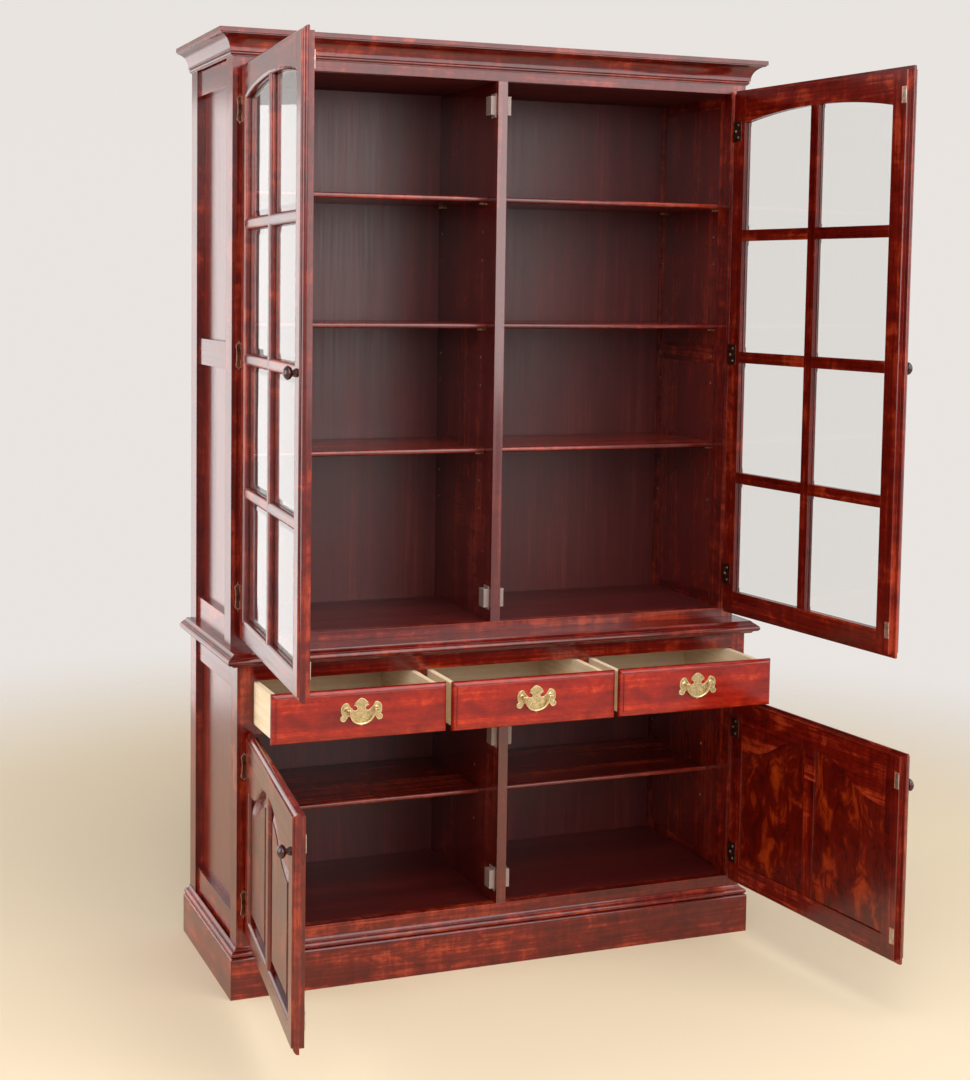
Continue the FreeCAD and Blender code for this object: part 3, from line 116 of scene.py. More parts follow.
def lay_grain(part, lengthwise=None):
    """Store for each vertex its place along, across and through its own board."""
    mesh = part.data
    turn = Matrix.Rotation(-facing(mesh), 3, "Z")
    places = np.empty(len(mesh.vertices) * 3)
    mesh.vertices.foreach_get("co", places)
    places = places.reshape(-1, 3) @ np.array(turn).T
    stored = np.zeros_like(places)
    count = 0
    for solid in boards(mesh):
        used = sorted({v for p in solid for v in mesh.polygons[p].vertices})
        low, high = places[used].min(0), places[used].max(0)
        order = np.argsort(low - high)
        if lengthwise is not None:
            order = [lengthwise] + [axis for axis in order if axis != lengthwise]
        shift = NEXT_BOARD * count + NEXT_PART * len(mesh.vertices) % 1
        stored[used] = (places[used] - low)[:, order] + shift
        count += 1
    attribute = mesh.attributes.new(GRAIN, "FLOAT_VECTOR", "POINT")
    attribute.data.foreach_set("vector", stored.astype(np.float32).ravel())
    return count


counted = 0
for name, part in nodes.items():
    counted += lay_grain(part, UPRIGHT if name.endswith(STANDING) else None)
print(counted, "solids have their own grain")

# %% [markdown]
# ## Writing a finish as arithmetic
# A finish mixes several patterns, and wiring each node by hand hides the idea. The first
# class below wraps a socket, so that patterns add and multiply like numbers. The second
# holds a material, and its method add makes any other node: it takes the node's type, its
# settings and what goes into its sockets. The methods after it are the few nodes that
# nearly every finish here needs.

# %% Arithmetic on sockets
class Value:
    """An output socket that can be used in an expression."""

    def __init__(self, look, socket):
        self.look, self.socket = look, socket

    def _math(self, operation, first, second):
        return self.look.add("ShaderNodeMath", {"operation": operation}, {0: first, 1: second})

    def __add__(self, other):
        return self._math("ADD", self, other)

    __radd__ = __add__

    def __sub__(self, other):
        return self._math("SUBTRACT", self, other)

    def __rsub__(self, other):
        return self._math("SUBTRACT", other, self)

    def __mul__(self, other):
        return self._math("MULTIPLY", self, other)

    __rmul__ = __mul__


class Look:
    """A material under construction, with its shader's plain settings."""

    def __init__(self, name, **plain):
        self.name = name
        self.material = bpy.data.materials.new(name)
        self.material.use_nodes = True
        self.tree = self.material.node_tree
        self.shader = self.tree.nodes["Principled BSDF"]
        for socket, value in plain.items():
            self.set(socket.replace("_", " "), value)

    def _join(self, socket, value):
        if isinstance(value, Value):
            self.tree.links.new(value.socket, socket)
        else:
            socket.default_value = value

    def set(self, name, value):
        """Give a socket of the shader a plain value or a pattern."""
        self._join(self.shader.inputs[name], value)

    def add(self, kind, settings=None, sockets=None, output=0):
        node = self.tree.nodes.new(kind)
        for name, value in (settings or {}).items():
            setattr(node, name, value)
        for key, value in (sockets or {}).items():
            self._join(node.inputs[key], value)
        return Value(self, node.outputs[output])

    def noise(self, place, scale=1.0, detail=3.0, rough=0.5, twist=0.0):
        sockets = {
            "Vector": place, "Scale": scale, "Detail": detail, "Roughness": rough,
            "Distortion": twist,
        }
        return self.add("ShaderNodeTexNoise", {}, sockets)

    def stretch(self, place, along, across):
        sockets = {"Vector": place, "Scale": (along, across, across)}
        return self.add("ShaderNodeMapping", {}, sockets)

    def between(self, pattern, low, high):
        """Spread the part of a pattern between two levels over the whole range."""
        sockets = {"Value": pattern, "From Min": low, "From Max": high}
        return self.add("ShaderNodeMapRange", {"interpolation_type": "SMOOTHSTEP"}, sockets)

    def mix(self, amount, first, second):
        """Mix two colours. The Mix node has a socket A for each type, so they are numbered."""
        share, colour_a, colour_b, mixed = 0, 6, 7, 2
        sockets = {share: amount, colour_a: first, colour_b: second}
        return self.add("ShaderNodeMix", {"data_type": "RGBA"}, sockets, mixed)

    def soft_edges(self, radius):
        return self.add("ShaderNodeBevel", {"samples": 4}, {"Radius": radius})

    def edge_mask(self, soft):
        """1 where a softened edge turns away from its flat face, and 0 on the flats."""
        flat = self.add("ShaderNodeNewGeometry", output="Normal")
        sockets = {0: soft, 1: flat}
        alike = self.add("ShaderNodeVectorMath", {"operation": "DOT_PRODUCT"}, sockets, "Value")
        return self.between(1 - alike, 0.02, 0.25)

    def relief(self, height, depth, normal=None):
        sockets = {"Strength": 1.0, "Distance": depth, "Height": height}
        if normal is not None:
            sockets["Normal"] = normal
        return self.add("ShaderNodeBump", {}, sockets)


def rgb(*colour):
    """A colour given as it looks on screen, three numbers from 0 to 1, as amounts of light."""
    light = [c / 12.92 if c <= 0.04045 else ((c + 0.055) / 1.055) ** 2.4 for c in colour]
    return (*light, 1.0)


print("finishes can be written as sums, and mid grey is", round(rgb(0.5, 0.5, 0.5)[0], 3))

# %% [markdown]
# ## Lacquered mahogany
# Mahogany shows three things at once: long soft ribbons of lighter and darker wood, short
# dark pores that run with the grain, and here and there a ripple across the grain. Burl is
# clouded instead. Each pattern is a noise stretched along the board's own coordinates, and
# ripple and mottle say how much the cross figure and the clouds count. The tinted lacquer
# makes the wood deep red and glossy. It fills the pores almost level, so their relief is
# only a tenth of a millimetre, and it rounds every arris, which the softened normal shows
# as a thin line of light. The arrises are also painted paler: a little of that is wear from
# fingers and dust, and the rest is a painted highlight. Some fronts get painted shade, which
# darkens their colour towards their borders.

# %% Wood
def wood(
    name, dark, middle, light, ripple, mottle=0.0, gloss=0.12, index=1.55, wear_and_highlight=0.35,
    spread=0.18, edge=None, painted_shade=0.0,
):
    """Lacquered wood in three colours, with a gentler contrast where spread is wider."""
    look = Look(name, IOR=index)
    grain = look.add("ShaderNodeAttribute", {"attribute_name": GRAIN}, output="Vector")
    ribbon = look.noise(look.stretch(grain, along=0.9, across=14), rough=0.55, twist=0.6)
    streak = look.noise(look.stretch(grain, along=3.5, across=130), rough=0.6)
    pores = look.noise(look.stretch(grain, along=60, across=700), detail=2.0)
    flame = look.noise(look.stretch(grain, along=34, across=9), rough=0.55, twist=1.2)
    cloud = look.noise(
        look.stretch(grain, along=14, across=22), detail=5.0, rough=0.6, twist=0.9
    )
    tone = ribbon * 0.55 + streak * 0.45
    tone = tone * (1 - ripple) + flame * ripple
    tone = tone * (1 - mottle) + cloud * mottle
    tone = look.between(tone, 0.5 - spread, 0.5 + spread)
    body = look.mix(tone, dark, middle)
    body = look.mix(look.between(tone, 0.5, 1.0) * 0.6, body, light)
    body = look.mix(look.between(pores, 0.54, 0.68) * 0.55, body, dark)
    # Painted shade: the colour darkens towards the borders of each face.
    if painted_shade:
        border = look.edge_mask(look.soft_edges(0.012))
        body = look.mix(border * painted_shade, body, dark)
    soft = look.soft_edges(0.0013)
    # The arrises are painted paler: partly wear, partly a painted highlight.
    look.set("Base Color", look.mix(look.edge_mask(soft) * wear_and_highlight, body, edge or light))
    look.set("Roughness", look.between(streak, 0.3, 0.7) * 0.08 + gloss)
    look.set("Normal", look.relief(pores * -0.7 + ribbon, 0.00012, soft))
    return look


CASE_DARK, CASE_MIDDLE = rgb(0.24, 0.02, 0.012), rgb(0.50, 0.10, 0.04)
CASE_LIGHT = rgb(0.74, 0.28, 0.14)
case_wood = wood(
    "mahogany_case", CASE_DARK, CASE_MIDDLE, CASE_LIGHT, ripple=0.2, mottle=0.3, spread=0.16
)
print("the case is finished in", case_wood.name)

# %% [markdown]
# ## The other woods
# One cabinet holds many shades of the same lacquer. The inside is duller, because nobody
# rubs it down. The front edges of shelves and divider are painted pale, mostly a painted
# highlight with a little wear. The panels have a quieter figure and the lower doors a burl
# veneer. Drawer fronts are the brightest red, the knobs are nearly black, and drawer boxes
# are bare pale hardwood. The top of the hutch, which only dust sees, has no polish.

# %% Woods
INNER_DARK, INNER_MIDDLE = rgb(0.25, 0.05, 0.045), rgb(0.36, 0.10, 0.085)
INNER_LIGHT = rgb(0.46, 0.17, 0.13)
inner_wood = wood(
    "mahogany_inner", INNER_DARK, INNER_MIDDLE, INNER_LIGHT,
    ripple=0.08, mottle=0.1, gloss=0.32, index=1.5, spread=0.28,
)
# Painted highlight: the very pale edge colour stands for light on the shelves' front edges,
# with a little wear.
shelf_wood = wood(
    "mahogany_shelf", INNER_DARK, CASE_MIDDLE, CASE_LIGHT,
    ripple=0.15, gloss=0.18, index=1.6, wear_and_highlight=1.0, edge=rgb(0.92, 0.72, 0.66),
)
# Painted highlight: the pale edge colour stands for light on the divider's front edge, with a
# little wear.
divider_wood = wood(
    "mahogany_divider", rgb(0.26, 0.03, 0.02), rgb(0.40, 0.08, 0.05), rgb(0.66, 0.27, 0.20),
    ripple=0.2, mottle=0.1, index=1.75, edge=rgb(0.80, 0.48, 0.44), spread=0.28,
)
panel_wood = wood(
    "mahogany_panel", CASE_DARK, CASE_MIDDLE, CASE_LIGHT,
    ripple=0.1, mottle=0.3, index=1.8, spread=0.34,
)
# The burl gets painted shade, darker towards its borders.
burl_wood = wood(
    "burl_panel", rgb(0.24, 0.02, 0.01), rgb(0.43, 0.08, 0.02), rgb(0.70, 0.25, 0.07),
    ripple=0.1, mottle=0.75, gloss=0.16, spread=0.24, painted_shade=0.6,
)
top_wood = wood(
    "dull_top", INNER_DARK, INNER_MIDDLE, INNER_LIGHT,
    ripple=0.1, mottle=0.2, gloss=0.6, index=1.35, spread=0.25,
)
# The drawer fronts get painted shade, darker towards their borders.
front_wood = wood(
    "mahogany_drawer", rgb(0.38, 0.03, 0.01), rgb(0.72, 0.14, 0.03), rgb(0.86, 0.31, 0.09),
    ripple=0.12, mottle=0.4, index=1.5, spread=0.19, painted_shade=0.9,
)
knob_wood = wood(
    "dark_knob", rgb(0.12, 0.02, 0.02), rgb(0.24, 0.04, 0.03), rgb(0.36, 0.09, 0.06),
    ripple=0.1,
)
plain_wood = wood(
    "pale_hardwood", rgb(0.90, 0.79, 0.62), rgb(0.96, 0.89, 0.77), rgb(0.98, 0.93, 0.84),
    ripple=0.05, mottle=0.2, gloss=0.6, index=1.45, wear_and_highlight=0.1,
)
WOODS = (
    case_wood, inner_wood, shelf_wood, divider_wood, panel_wood, burl_wood, top_wood,
    front_wood, knob_wood, plain_wood,
)
print(len(WOODS), "woods")

# %% [markdown]
# ## Brass, steel and plastic
# The pulls are cast brass: a pebbled field dulled in its hollows, and rims rubbed bright.
# The hinges are stamped and darkened, and shine only along their edges. The strikes are
# zinc-plated steel, and the catches that hold them are pale moulded plastic. Metal tarnishes
# in clouds. Both metal and plastic are painted brighter along their edges: partly wear where
# hands and doors rub them, partly a painted highlight.

# %% Metal and plastic
def metal(name, bright, dull, rough, pebbles=0.0, wear_and_highlight_share=0.8):
    """Metal between two colours, tarnished in clouds or in the hollows between pebbles."""
    look = Look(name, Metallic=1.0)
    place = look.add("ShaderNodeTexCoord", output="Object")
    cloud = look.between(look.noise(place, 90.0, detail=4.0, rough=0.6), 0.35, 0.68)
    grit = look.noise(place, 620.0, detail=2.0)
    soft = look.soft_edges(0.0006)
    wear_and_highlight = look.edge_mask(soft)
    tarnish = cloud * (1 - pebbles) + look.between(grit, 0.4, 0.6) * pebbles
    body = look.mix(tarnish, dull, bright)
    # The edges are painted brighter: partly rubbed wear, partly a painted highlight.
    look.set("Base Color", look.mix(wear_and_highlight * wear_and_highlight_share, body, bright))
    look.set("Roughness", (1 - cloud) * 0.15 + rough)
    look.set("Normal", look.relief(grit, 0.0005 * pebbles, soft))
    return look


def moulded(name, colour, edge, rough):
    """Moulded plastic: faintly uneven in gloss, and paler along its edges: partly rubbed,
    partly a painted highlight.
    """
    look = Look(name)
    place = look.add("ShaderNodeTexCoord", output="Object")
    cloud = look.noise(place, 140.0, rough=0.6)
    soft = look.soft_edges(0.0012)
    # The edges are painted paler: partly rubbed, partly a painted highlight.
    look.set("Base Color", look.mix(look.edge_mask(soft) * 0.9 + cloud * 0.2, colour, edge))
    look.set("Roughness", cloud * 0.15 + rough)
    look.set("Normal", soft)
    return look


pull_brass = metal("polished_brass", rgb(0.95, 0.89, 0.74), rgb(0.83, 0.73, 0.54), 0.22, 0.1)
field_brass = metal("pebbled_brass", rgb(0.88, 0.79, 0.60), rgb(0.52, 0.43, 0.27), 0.32, 0.6)
hinge_brass = metal("antique_brass", rgb(0.62, 0.42, 0.33), rgb(0.24, 0.14, 0.11), 0.3, 0.2)
# The rims' pale pinkish bronze is partly rubbed wear and partly a painted highlight.
edge_bronze = metal("wear_and_highlight_bronze", rgb(0.93, 0.74, 0.64), rgb(0.72, 0.50, 0.41), 0.42, 0.1)
zinc = metal("zinc_steel", rgb(0.82, 0.79, 0.74), rgb(0.60, 0.56, 0.50), 0.3)
plastic = moulded("pale_plastic", rgb(0.50, 0.41, 0.38), rgb(0.86, 0.80, 0.76), 0.4)
METALS = (pull_brass, field_brass, hinge_brass, edge_bronze, zinc)
print(len(METALS), "metals and one plastic")

# %% [markdown]
# ## Glass
# Clear glass needs little more than its index, because the bevels round each pane are in
# its shape. Two things keep it from looking like empty air: a very slight wave, which bends
# what it mirrors, and faint smears left by the cloth that wiped it.

# %% Window glass
def window_glass(name):
    look = Look(name, Base_Color=(0.97, 0.99, 0.98, 1.0), Transmission_Weight=1.0, IOR=1.5)
    pane = look.add("ShaderNodeTexCoord", output="Object")
    smear = look.between(look.noise(pane, 22.0, detail=4.0, rough=0.6, twist=1.0), 0.52, 0.8)
    wave = look.noise(pane, 9.0, detail=1.0)
    look.set("Roughness", smear * 0.05)
    look.set("Normal", look.relief(wave, 0.0002))
    return look


glass = window_glass("clear_glass")
print("glass with an index of", glass.shader.inputs["IOR"].default_value)

# %% [markdown]
# ## Every part gets its finish
# The drawing names a finish for each part. Four kinds of part get a closer one here: the
# cast plates of the pulls, the two uprights in the middle, and the top of the hutch.

# %% Finish the parts
FINISHES = {look.name: look.material for look in (*WOODS, *METALS, plastic, glass)}
CLOSER = {
    "_pull": "pebbled_brass",
    "_divider": "mahogany_divider",
    "_partition": "mahogany_divider",
    "hutch_top": "dull_top",
}
for entry in frame["record"]["subparts"]:
    name, finish = entry["node"], entry["material_slot"]
    for ending, closer in CLOSER.items():
        if name.endswith(ending):
            finish = closer
    part = nodes[name]
    part.data.materials.clear()
    part.data.materials.append(FINISHES[finish])
print(len(FINISHES), "finishes for", len(nodes), "parts")

# %% [markdown]
# ## Where the small fittings go
# Screws and rims sit on plates that were drawn beforehand and that lie at many angles,
# because the doors stand open. Instead of working each place out again, the script looks
# for the widest flat face of a plate that is turned away from what carries it. Its
# middle, its upright and its outward direction make a small frame of axes to build in.

# %% Find the open face of a plate
def widest_face(mesh, solid, behind):
    """The polygons of the widest upright face of a solid that is turned away from a point."""
    groups = {}
    for index in solid:
        polygon = mesh.polygons[index]
        normal = polygon.normal
        if abs(normal.z) < 0.1 and (polygon.center - behind).dot(normal) > 0:
            key = (round(normal.x, 2), round(normal.y, 2), round(polygon.center.dot(normal), 4))
            groups.setdefault(key, []).append(polygon)
    return max(groups.values(), key=lambda group: sum(polygon.area for polygon in group))


def axes_of(mesh, face):
    """Axes in the middle of a face, with its half width and half height."""
    outward, up = face[0].normal.copy(), Vector((0, 0, 1))
    across = up.cross(outward)
    spots = [mesh.vertices[v].co for polygon in face for v in polygon.vertices]
    side, rise = [spot.dot(across) for spot in spots], [spot.z for spot in spots]
    middle = across * (min(side) + max(side)) / 2 + up * (min(rise) + max(rise)) / 2
    place = Matrix.Translation(middle + outward * spots[0].dot(outward))
    turn = Matrix((across, up, outward)).transposed().to_4x4()
    return place @ turn, (max(side) - min(side)) / 2, (max(rise) - min(rise)) / 2


def middle_of(name):
    low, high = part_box(name)
    return (Vector(low) + Vector(high)) / 2


CASE_HEART = Vector((0, 0, 0.9))
WAY = {"left": 1, "right": -1}
DOORS = {
    f"{level}_door_{side}": way for level in ("upper", "lower") for side, way in WAY.items()
}
print("open faces can be found on the plates of", len(DOORS), "doors")

# %% [markdown]
# ## Making a piece
# A bmesh is only a shape in memory. It becomes a piece of the cabinet when it has an
# object, a finish and a body that it moves with. Many fittings repeat, so a small mesh is
# copied into a larger one wherever it is wanted.

# %% Settle a mesh on a body, and stamp copies into it
def settle(name, mesh, body, look):
    """Turn a bmesh into a piece that rides on a body."""
    data = bpy.data.meshes.new(name)
    mesh.to_mesh(data)
    mesh.free()
    data.materials.append(look.material)
    piece = bpy.data.objects.new(name, data)
    bpy.context.scene.collection.objects.link(piece)
    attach(piece, body)
    return piece


def stamp(mesh, pattern, places):
    """Copy a small mesh into a bmesh once for each place."""
    for place in places:
        before = len(mesh.verts)
        mesh.from_mesh(pattern)
        bmesh.ops.transform(mesh, matrix=place, verts=mesh.verts[before:])


# %% [markdown]
# ## Screws
# Every hinge, strike and catch is held by small countersunk screws, and in a dark case
# their heads are the points of light. A head is a low cone with a bevelled rim. Two planes
# cut its top, and the strip between them goes down as the slot.

# %% Make a screw head
def screw_head(radius):
    high, slot, rim, deep = radius * 0.26, radius * 0.15, radius * 0.14, 0.8
    mesh = bmesh.new()
    bmesh.ops.create_cone(
        mesh, cap_ends=True, segments=18, radius1=radius, radius2=radius * 0.94, depth=high * 2
    )
    cap = max(mesh.faces, key=lambda face: face.calc_center_median().z)
    bmesh.ops.bevel(
        mesh, geom=cap.edges[:], offset=rim, segments=2, profile=0.5, affect="EDGES",
        material=-1,
    )
    near_top = high * 0.99
    for side in (-slot, slot):
        flats = [face for face in mesh.faces if face.calc_center_median().z > near_top]
        edges = {edge for face in flats for edge in face.edges}
        corners = {corner for face in flats for corner in face.verts}
        bmesh.ops.bisect_plane(
            mesh, geom=[*flats, *edges, *corners], plane_co=(0, side, 0), plane_no=(0, 1, 0)
        )
    strip = []
    for face in mesh.faces:
        middle = face.calc_center_median()
        if middle.z > near_top and abs(middle.y) < slot:
            strip.append(face)
    sunk = bmesh.ops.extrude_face_region(mesh, geom=strip)["geom"]
    bottom = [thing for thing in sunk if isinstance(thing, bmesh.types.BMVert)]
    bmesh.ops.translate(mesh, verts=bottom, vec=(0, 0, -high * deep))
    data = bpy.data.meshes.new("screw_head")
    mesh.to_mesh(data)
    mesh.free()
    return data


print("a screw head has", len(screw_head(0.003).polygons), "faces")

# %% [markdown]
# ## Driving the screws
# One head is made for each kind of plate and stamped wherever a screw sits, each turned
# differently, as a driver leaves them. Three zigzag down a hinge leaf, two hold a wing or
# the base of a catch, and one holds a strike. The strikes' screws are sunk deeper, because
# the closed door brings them up against the catches.

# %% Drive the screws
FIRST_TURN, NEXT_TURN = 0.5, 1.1


def fasten(name, part_name, body, behind, spots, radius, look, least=0.0, sunk=0.0):
    """Screws at shares of a plate's half width and height, on solids no lower than least."""
    data = nodes[part_name].data
    head, mesh, places = screw_head(radius), bmesh.new(), []
    for solid in boards(data):
        place, half_wide, half_high = axes_of(data, widest_face(data, solid, behind))
        if half_high < least:
            continue
        for right, up in spots:
            at = Matrix.Translation((right * half_wide, up * half_high, -sunk))
            turn = Matrix.Rotation(FIRST_TURN + NEXT_TURN * len(places), 4, "Z")
            places.append(place @ at @ turn)
    stamp(mesh, head, places)
    settle(name, mesh, body, look)
    return len(places)


heads = 0
for door, way in DOORS.items():
    behind = middle_of(f"{door}_frame")
    heads += fasten(
        f"{door}_leaf_screws", f"{door}_hinge_leaves", door, behind,
        spots=[(-0.2 * way, 0.62), (0.4 * way, 0.0), (-0.2 * way, -0.62)],
        radius=0.003, look=zinc,
    )
    heads += fasten(
        f"{door}_strike_screws", f"{door}_strikes", door, behind,
        spots=[(0, 0)], radius=0.0026, look=zinc, sunk=0.0005,
    )
heads += fasten(
    "hinge_wing_screws", "hinge_wings", "cabinet", CASE_HEART,
    spots=[(0, 0.62), (0, -0.62)], radius=0.0026, look=hinge_brass,
)
heads += fasten(
    "catch_screws", "door_catches", "cabinet", CASE_HEART,
    spots=[(0, 0.8), (0, -0.8)], radius=0.0024, look=zinc, least=0.024,
)
print(heads, "screw heads")

# %% [markdown]
# ## Raised rims
# A cast plate has a bead round its edge, which the polishing wheel keeps bright, and a
# stamped strike or hinge wing has a turned-up edge. Both follow an outline that the drawing
# has already, so the bead is made from the plate itself: its open face is copied and
# merged, an inset cuts a band along the edge, and the band is extruded and bevelled.

# %% Raise a bead along the edge of a plate
SHARP = 1.2


def edge_bead(name, part_name, body, behind, wide, high, look, least=0.0):
    """A bead along the open face of each solid that is no lower than least, by half height."""
    data = nodes[part_name].data
    whole = bmesh.new()
    for solid in boards(data):
        face = widest_face(data, solid, behind)
        _, _, half_high = axes_of(data, face)
        if half_high < least:
            continue
        chosen = {polygon.index for polygon in face}
        mesh = bmesh.new()
        mesh.from_mesh(data)
        rest = [polygon for polygon in mesh.faces if polygon.index not in chosen]
        bmesh.ops.delete(mesh, geom=rest, context="FACES")
        bmesh.ops.remove_doubles(mesh, verts=mesh.verts, dist=1e-6)
        field = mesh.faces[:]
        band = bmesh.ops.inset_region(
            mesh, faces=field, thickness=wide, use_boundary=True, use_even_offset=True
        )["faces"]
        bmesh.ops.delete(mesh, geom=field, context="FACES")
        raised = bmesh.ops.extrude_face_region(mesh, geom=band)["geom"]
        top = [thing for thing in raised if isinstance(thing, bmesh.types.BMVert)]
        bmesh.ops.translate(mesh, verts=top, vec=face[0].normal * high)
        bmesh.ops.recalc_face_normals(mesh, faces=mesh.faces)
        sharp = [edge for edge in mesh.edges if edge.calc_face_angle(0) > SHARP]
        bmesh.ops.bevel(
            mesh, geom=sharp, offset=high * 0.45, segments=1, profile=0.5, affect="EDGES",
            material=-1,
        )
        copy = bpy.data.meshes.new("bead")
        mesh.to_mesh(copy)
        mesh.free()
        whole.from_mesh(copy)
    return settle(name, whole, body, look)


for door in DOORS:
    edge_bead(
        f"{door}_strike_rims", f"{door}_strikes", door, middle_of(f"{door}_frame"),
        wide=0.0022, high=0.0002, look=edge_bronze,
    )
rims = edge_bead(
    "hinge_wing_rims", "hinge_wings", "cabinet", CASE_HEART,
    wide=0.0014, high=0.0004, look=edge_bronze,
)
print("hinge wing rims have", len(rims.data.polygons), "faces")

# %% [markdown]
# ## Collars on the pulls
# A pull's plate has the same bead, and round each of its two posts sits a turned collar. A
# turner cuts it from a rod in one pass, and the mesh is made alike: a small profile is spun
# once round. The posts stand 32 mm to each side of the plate's middle, 633 mm up.

# %% Spin the collars and dress the pulls
POST_OUT, POST_UP = 0.0323, 0.633


def spun_ring(inner, outer, high, deep, steps=20):
    """A ring standing on the XY plane at the origin, with a sleeve that goes down into it."""
    mesh = bmesh.new()
    crest = (inner + outer) / 2
    profile = [(inner, -deep), (inner, high * 0.7), (crest, high), (outer, 0), (outer, -deep)]
    corners = [mesh.verts.new((across, 0, up)) for across, up in profile]
    edges = [mesh.edges.new(pair) for pair in zip(corners, corners[1:] + corners[:1])]
    bmesh.ops.spin(
        mesh, geom=corners + edges, cent=(0, 0, 0), axis=(0, 0, 1), angle=math.tau,
        steps=steps, use_merge=True,
    )
    bmesh.ops.recalc_face_normals(mesh, faces=mesh.faces)
    data = bpy.data.meshes.new("ring")
    mesh.to_mesh(data)
    mesh.free()
    return data


collar = spun_ring(inner=0.0027, outer=0.0052, high=0.0011, deep=0.0002)
for drawer in ("drawer_left", "drawer_middle", "drawer_right"):
    behind = middle_of(f"{drawer}_box")
    bead = edge_bead(
        f"{drawer}_pull_rim", f"{drawer}_pull", drawer, behind,
        wide=0.0016, high=0.0006, look=pull_brass, least=0.02,
    )
    data = nodes[f"{drawer}_pull"].data
    faces = [axes_of(data, widest_face(data, solid, behind)) for solid in boards(data)]
    place, _, _ = max(faces, key=lambda axes: axes[1])
    rise = POST_UP - place.translation.z
    mesh = bmesh.new()
    posts = [place @ Matrix.Translation((way * POST_OUT, rise, 0)) for way in (-1, 1)]
    stamp(mesh, collar, posts)
    settle(f"{drawer}_pull_collars", mesh, drawer, pull_brass)
    print(drawer, "pull rim has", len(bead.data.polygons), "faces")

# %% [markdown]
# ## Sleeves in the spare holes
# Each shelf can be moved to another row of holes. The holes are lined with short metal
# sleeves, whose rims show as grey dots up the sides. One sleeve is spun and stamped at
# every hole that has no pin in it. The rows stand 62 mm apart.

# %% Line the spare holes
ROW = 0.062
COLUMNS = {"base": (-0.070, 0.171), "hutch": (-0.0715, 0.171)}
PINS = {"base": (0.347,), "hutch": (1.1155, 1.3905, 1.667)}
STEPS = {"base": (-ROW, ROW), "hutch": (-ROW, -2 * ROW)}
FACES = [(-0.572, 1), (-0.011, -1), (0.011, 1), (0.572, -1)]
sleeve = spun_ring(inner=0.0021, outer=0.0034, high=0.0003, deep=0.006, steps=14)
places = []
for unit, columns in COLUMNS.items():
    heights = [pin + step for pin in PINS[unit] for step in STEPS[unit]]
    for x, way in FACES:
        turn = Matrix.Rotation(way * math.pi / 2, 4, "Y")
        for y in columns:
            places += [Matrix.Translation((x, y, up)) @ turn for up in heights]
mesh = bmesh.new()
stamp(mesh, sleeve, places)
settle("hole_sleeves", mesh, "cabinet", zinc)
print(len(places), "spare holes lined")

# %% [markdown]
# ## Surround
# A soft pale surround stands for a studio. Camera, glossy and transmission rays see it
# brighter than the light that it sheds, so the backdrop is pale without washing out the
# wood. It darkens slowly upwards, as a room does.

# %% A surround that is paler to the eye than to the wood
class Surround(Look):
    """The world's own tree, with the same arithmetic."""

    def __init__(self, name):
        self.name = name
        self.world = bpy.data.worlds.new(name)
        self.world.use_nodes = True
        self.tree = self.world.node_tree
        self.shader = self.tree.nodes["Background"]

    def larger(self, first, second):
        return self.add("ShaderNodeMath", {"operation": "MAXIMUM"}, {0: first, 1: second})


SHED = 0.62
LOW_SKY, HIGH_SKY = (0.82, 0.78, 0.75, 1.0), (0.62, 0.61, 0.63, 1.0)
surround = Surround("surround")
bpy.context.scene.world = surround.world
seen = surround.add("ShaderNodeLightPath", output="Is Camera Ray")
glossy = surround.add("ShaderNodeLightPath", output="Is Glossy Ray")
through = surround.add("ShaderNodeLightPath", output="Is Transmission Ray")
direction = surround.add("ShaderNodeTexCoord", output="Generated")
upwards = surround.add("ShaderNodeSeparateXYZ", {}, {"Vector": direction}, "Z")
surround.set("Color", surround.mix(surround.between(upwards, 0.05, 0.8), LOW_SKY, HIGH_SKY))
watched = surround.larger(surround.larger(seen, through), glossy)
surround.set("Strength", watched * (1 - SHED) + SHED)
print("the surround sheds", SHED, "of what the camera sees")

# %% [markdown]
# ## Floor
# The floor is a plain pale sheet that keeps the cabinet's shadow. It has no edge in any
# view, because it turns transparent with distance: the shader is mixed with a transparent
# one by the distance from the middle.

# %% A floor that fades away
HALF_FLOOR = 9
FADE_FROM, FADE_TO = 1.5, 3.4
floor_mesh = bpy.data.meshes.new("studio_floor")
sheet = bmesh.new()
bmesh.ops.create_grid(sheet, x_segments=1, y_segments=1, size=HALF_FLOOR)
sheet.to_mesh(floor_mesh)
sheet.free()
floor = bpy.data.objects.new("studio_floor", floor_mesh)
bpy.context.scene.collection.objects.link(floor)
floor_look = Look("studio_floor", Base_Color=rgb(0.92, 0.85, 0.73), Roughness=0.8, IOR=1.3)
spot = floor_look.add("ShaderNodeTexCoord", output="Object")
distance = floor_look.add("ShaderNodeVectorMath", {"operation": "LENGTH"}, {0: spot}, "Value")
nothing = floor_look.add("ShaderNodeBsdfTransparent")
solid_floor = Value(floor_look, floor_look.shader.outputs["BSDF"])
faded = floor_look.between(distance, FADE_FROM, FADE_TO)
fade = floor_look.add("ShaderNodeMixShader", {}, {0: faded, 1: solid_floor, 2: nothing})
surface = floor_look.tree.nodes["Material Output"].inputs["Surface"]
floor_look.tree.links.new(fade.socket, surface)
floor.data.materials.append(floor_look.material)
print("the floor fades from", FADE_FROM, "to", FADE_TO, "m")

# %% [markdown]
# ## Lamps
# Glossy lacquer shows whatever stands round it, so the lamps are large soft sheets. One
# stands in front, for the fronts to mirror, and a smaller one to the left lights them like a
# window. One hangs overhead for the mouldings. Two stand on the left, beside and behind
# the cabinet, where the side panels and the edges of the open doors mirror them.

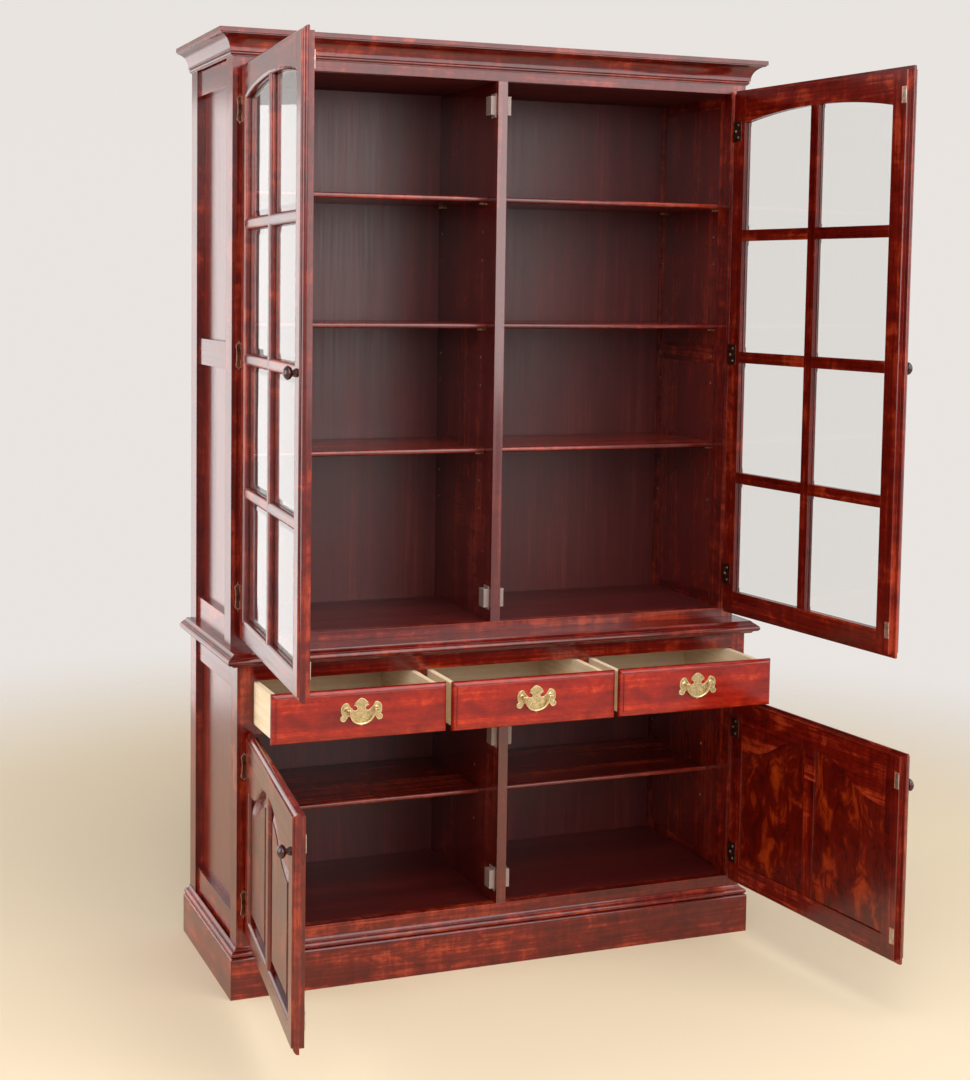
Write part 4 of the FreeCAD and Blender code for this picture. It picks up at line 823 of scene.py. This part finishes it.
# %% Lamps
def lamp(name, place, target, wide, high, power):
    """A soft sheet of light at a place, turned to a target, that the camera doesn't see."""
    light = bpy.data.lights.new(name, "AREA")
    light.shape, light.size, light.size_y, light.energy = "RECTANGLE", wide, high, power
    thing = bpy.data.objects.new(name, light)
    thing.location = place
    thing.rotation_euler = (Vector(target) - Vector(place)).to_track_quat("-Z", "Y").to_euler()
    thing.visible_camera = thing.visible_transmission = False
    bpy.context.scene.collection.objects.link(thing)


lamp("front_sky", (2.4, -5.2, 2.6), (0, 0, 1.0), wide=6.0, high=3.6, power=195)
lamp("window_light", (-2.6, -4.6, 3.0), (0, 0, 0.9), wide=2.5, high=2.5, power=70)
lamp("overhead_sky", (0.2, -2.4, 4.3), (0, -0.2, 0.6), wide=3.5, high=3.5, power=125)
lamp("left_sheet", (-4.5, 0.2, 1.6), (0, 0, 0.9), wide=3.0, high=3.0, power=100)
lamp("side_reflector", (-2.6, 3.6, 0.9), (-0.6, 0, 0.7), wide=3.4, high=2.8, power=38)
lit = [thing.name for thing in bpy.context.scene.objects if thing.type == "LIGHT"]
print("lamps:", ", ".join(lit))

# %% [markdown]
# ## Camera
# The cabinet is seen from the left of its middle, with the lens at chest height and turned
# down a little. The shift sets the frame without tilting the uprights any further.

# %% Camera
EYE = Vector((-1.5257, -3.6577, 1.4876))
YAW, PITCH, ROLL = 0.362, 0.077, 0.012
LENS, SENSOR = 58.47, 36.0
SHIFT_X, SHIFT_Y = 0.0657, -0.1113
ahead = Vector((
    math.sin(YAW) * math.cos(PITCH), math.cos(YAW) * math.cos(PITCH), -math.sin(PITCH),
))
level = Vector((math.cos(YAW), -math.sin(YAW), 0.0))
above = level.cross(ahead)
right = level * math.cos(ROLL) + above * math.sin(ROLL)
top = above * math.cos(ROLL) - level * math.sin(ROLL)
camera = bpy.data.cameras.new("camera")
camera.lens, camera.sensor_width = LENS, SENSOR
camera.shift_x, camera.shift_y = SHIFT_X, SHIFT_Y
viewer = bpy.data.objects.new("camera", camera)
turn = Matrix((right, top, -ahead)).transposed().to_4x4()
viewer.matrix_world = Matrix.Translation(EYE) @ turn
bpy.context.scene.collection.objects.link(viewer)
bpy.context.scene.camera = viewer
bpy.context.scene.view_settings.view_transform = "Standard"
print("camera at", [round(c, 3) for c in EYE])
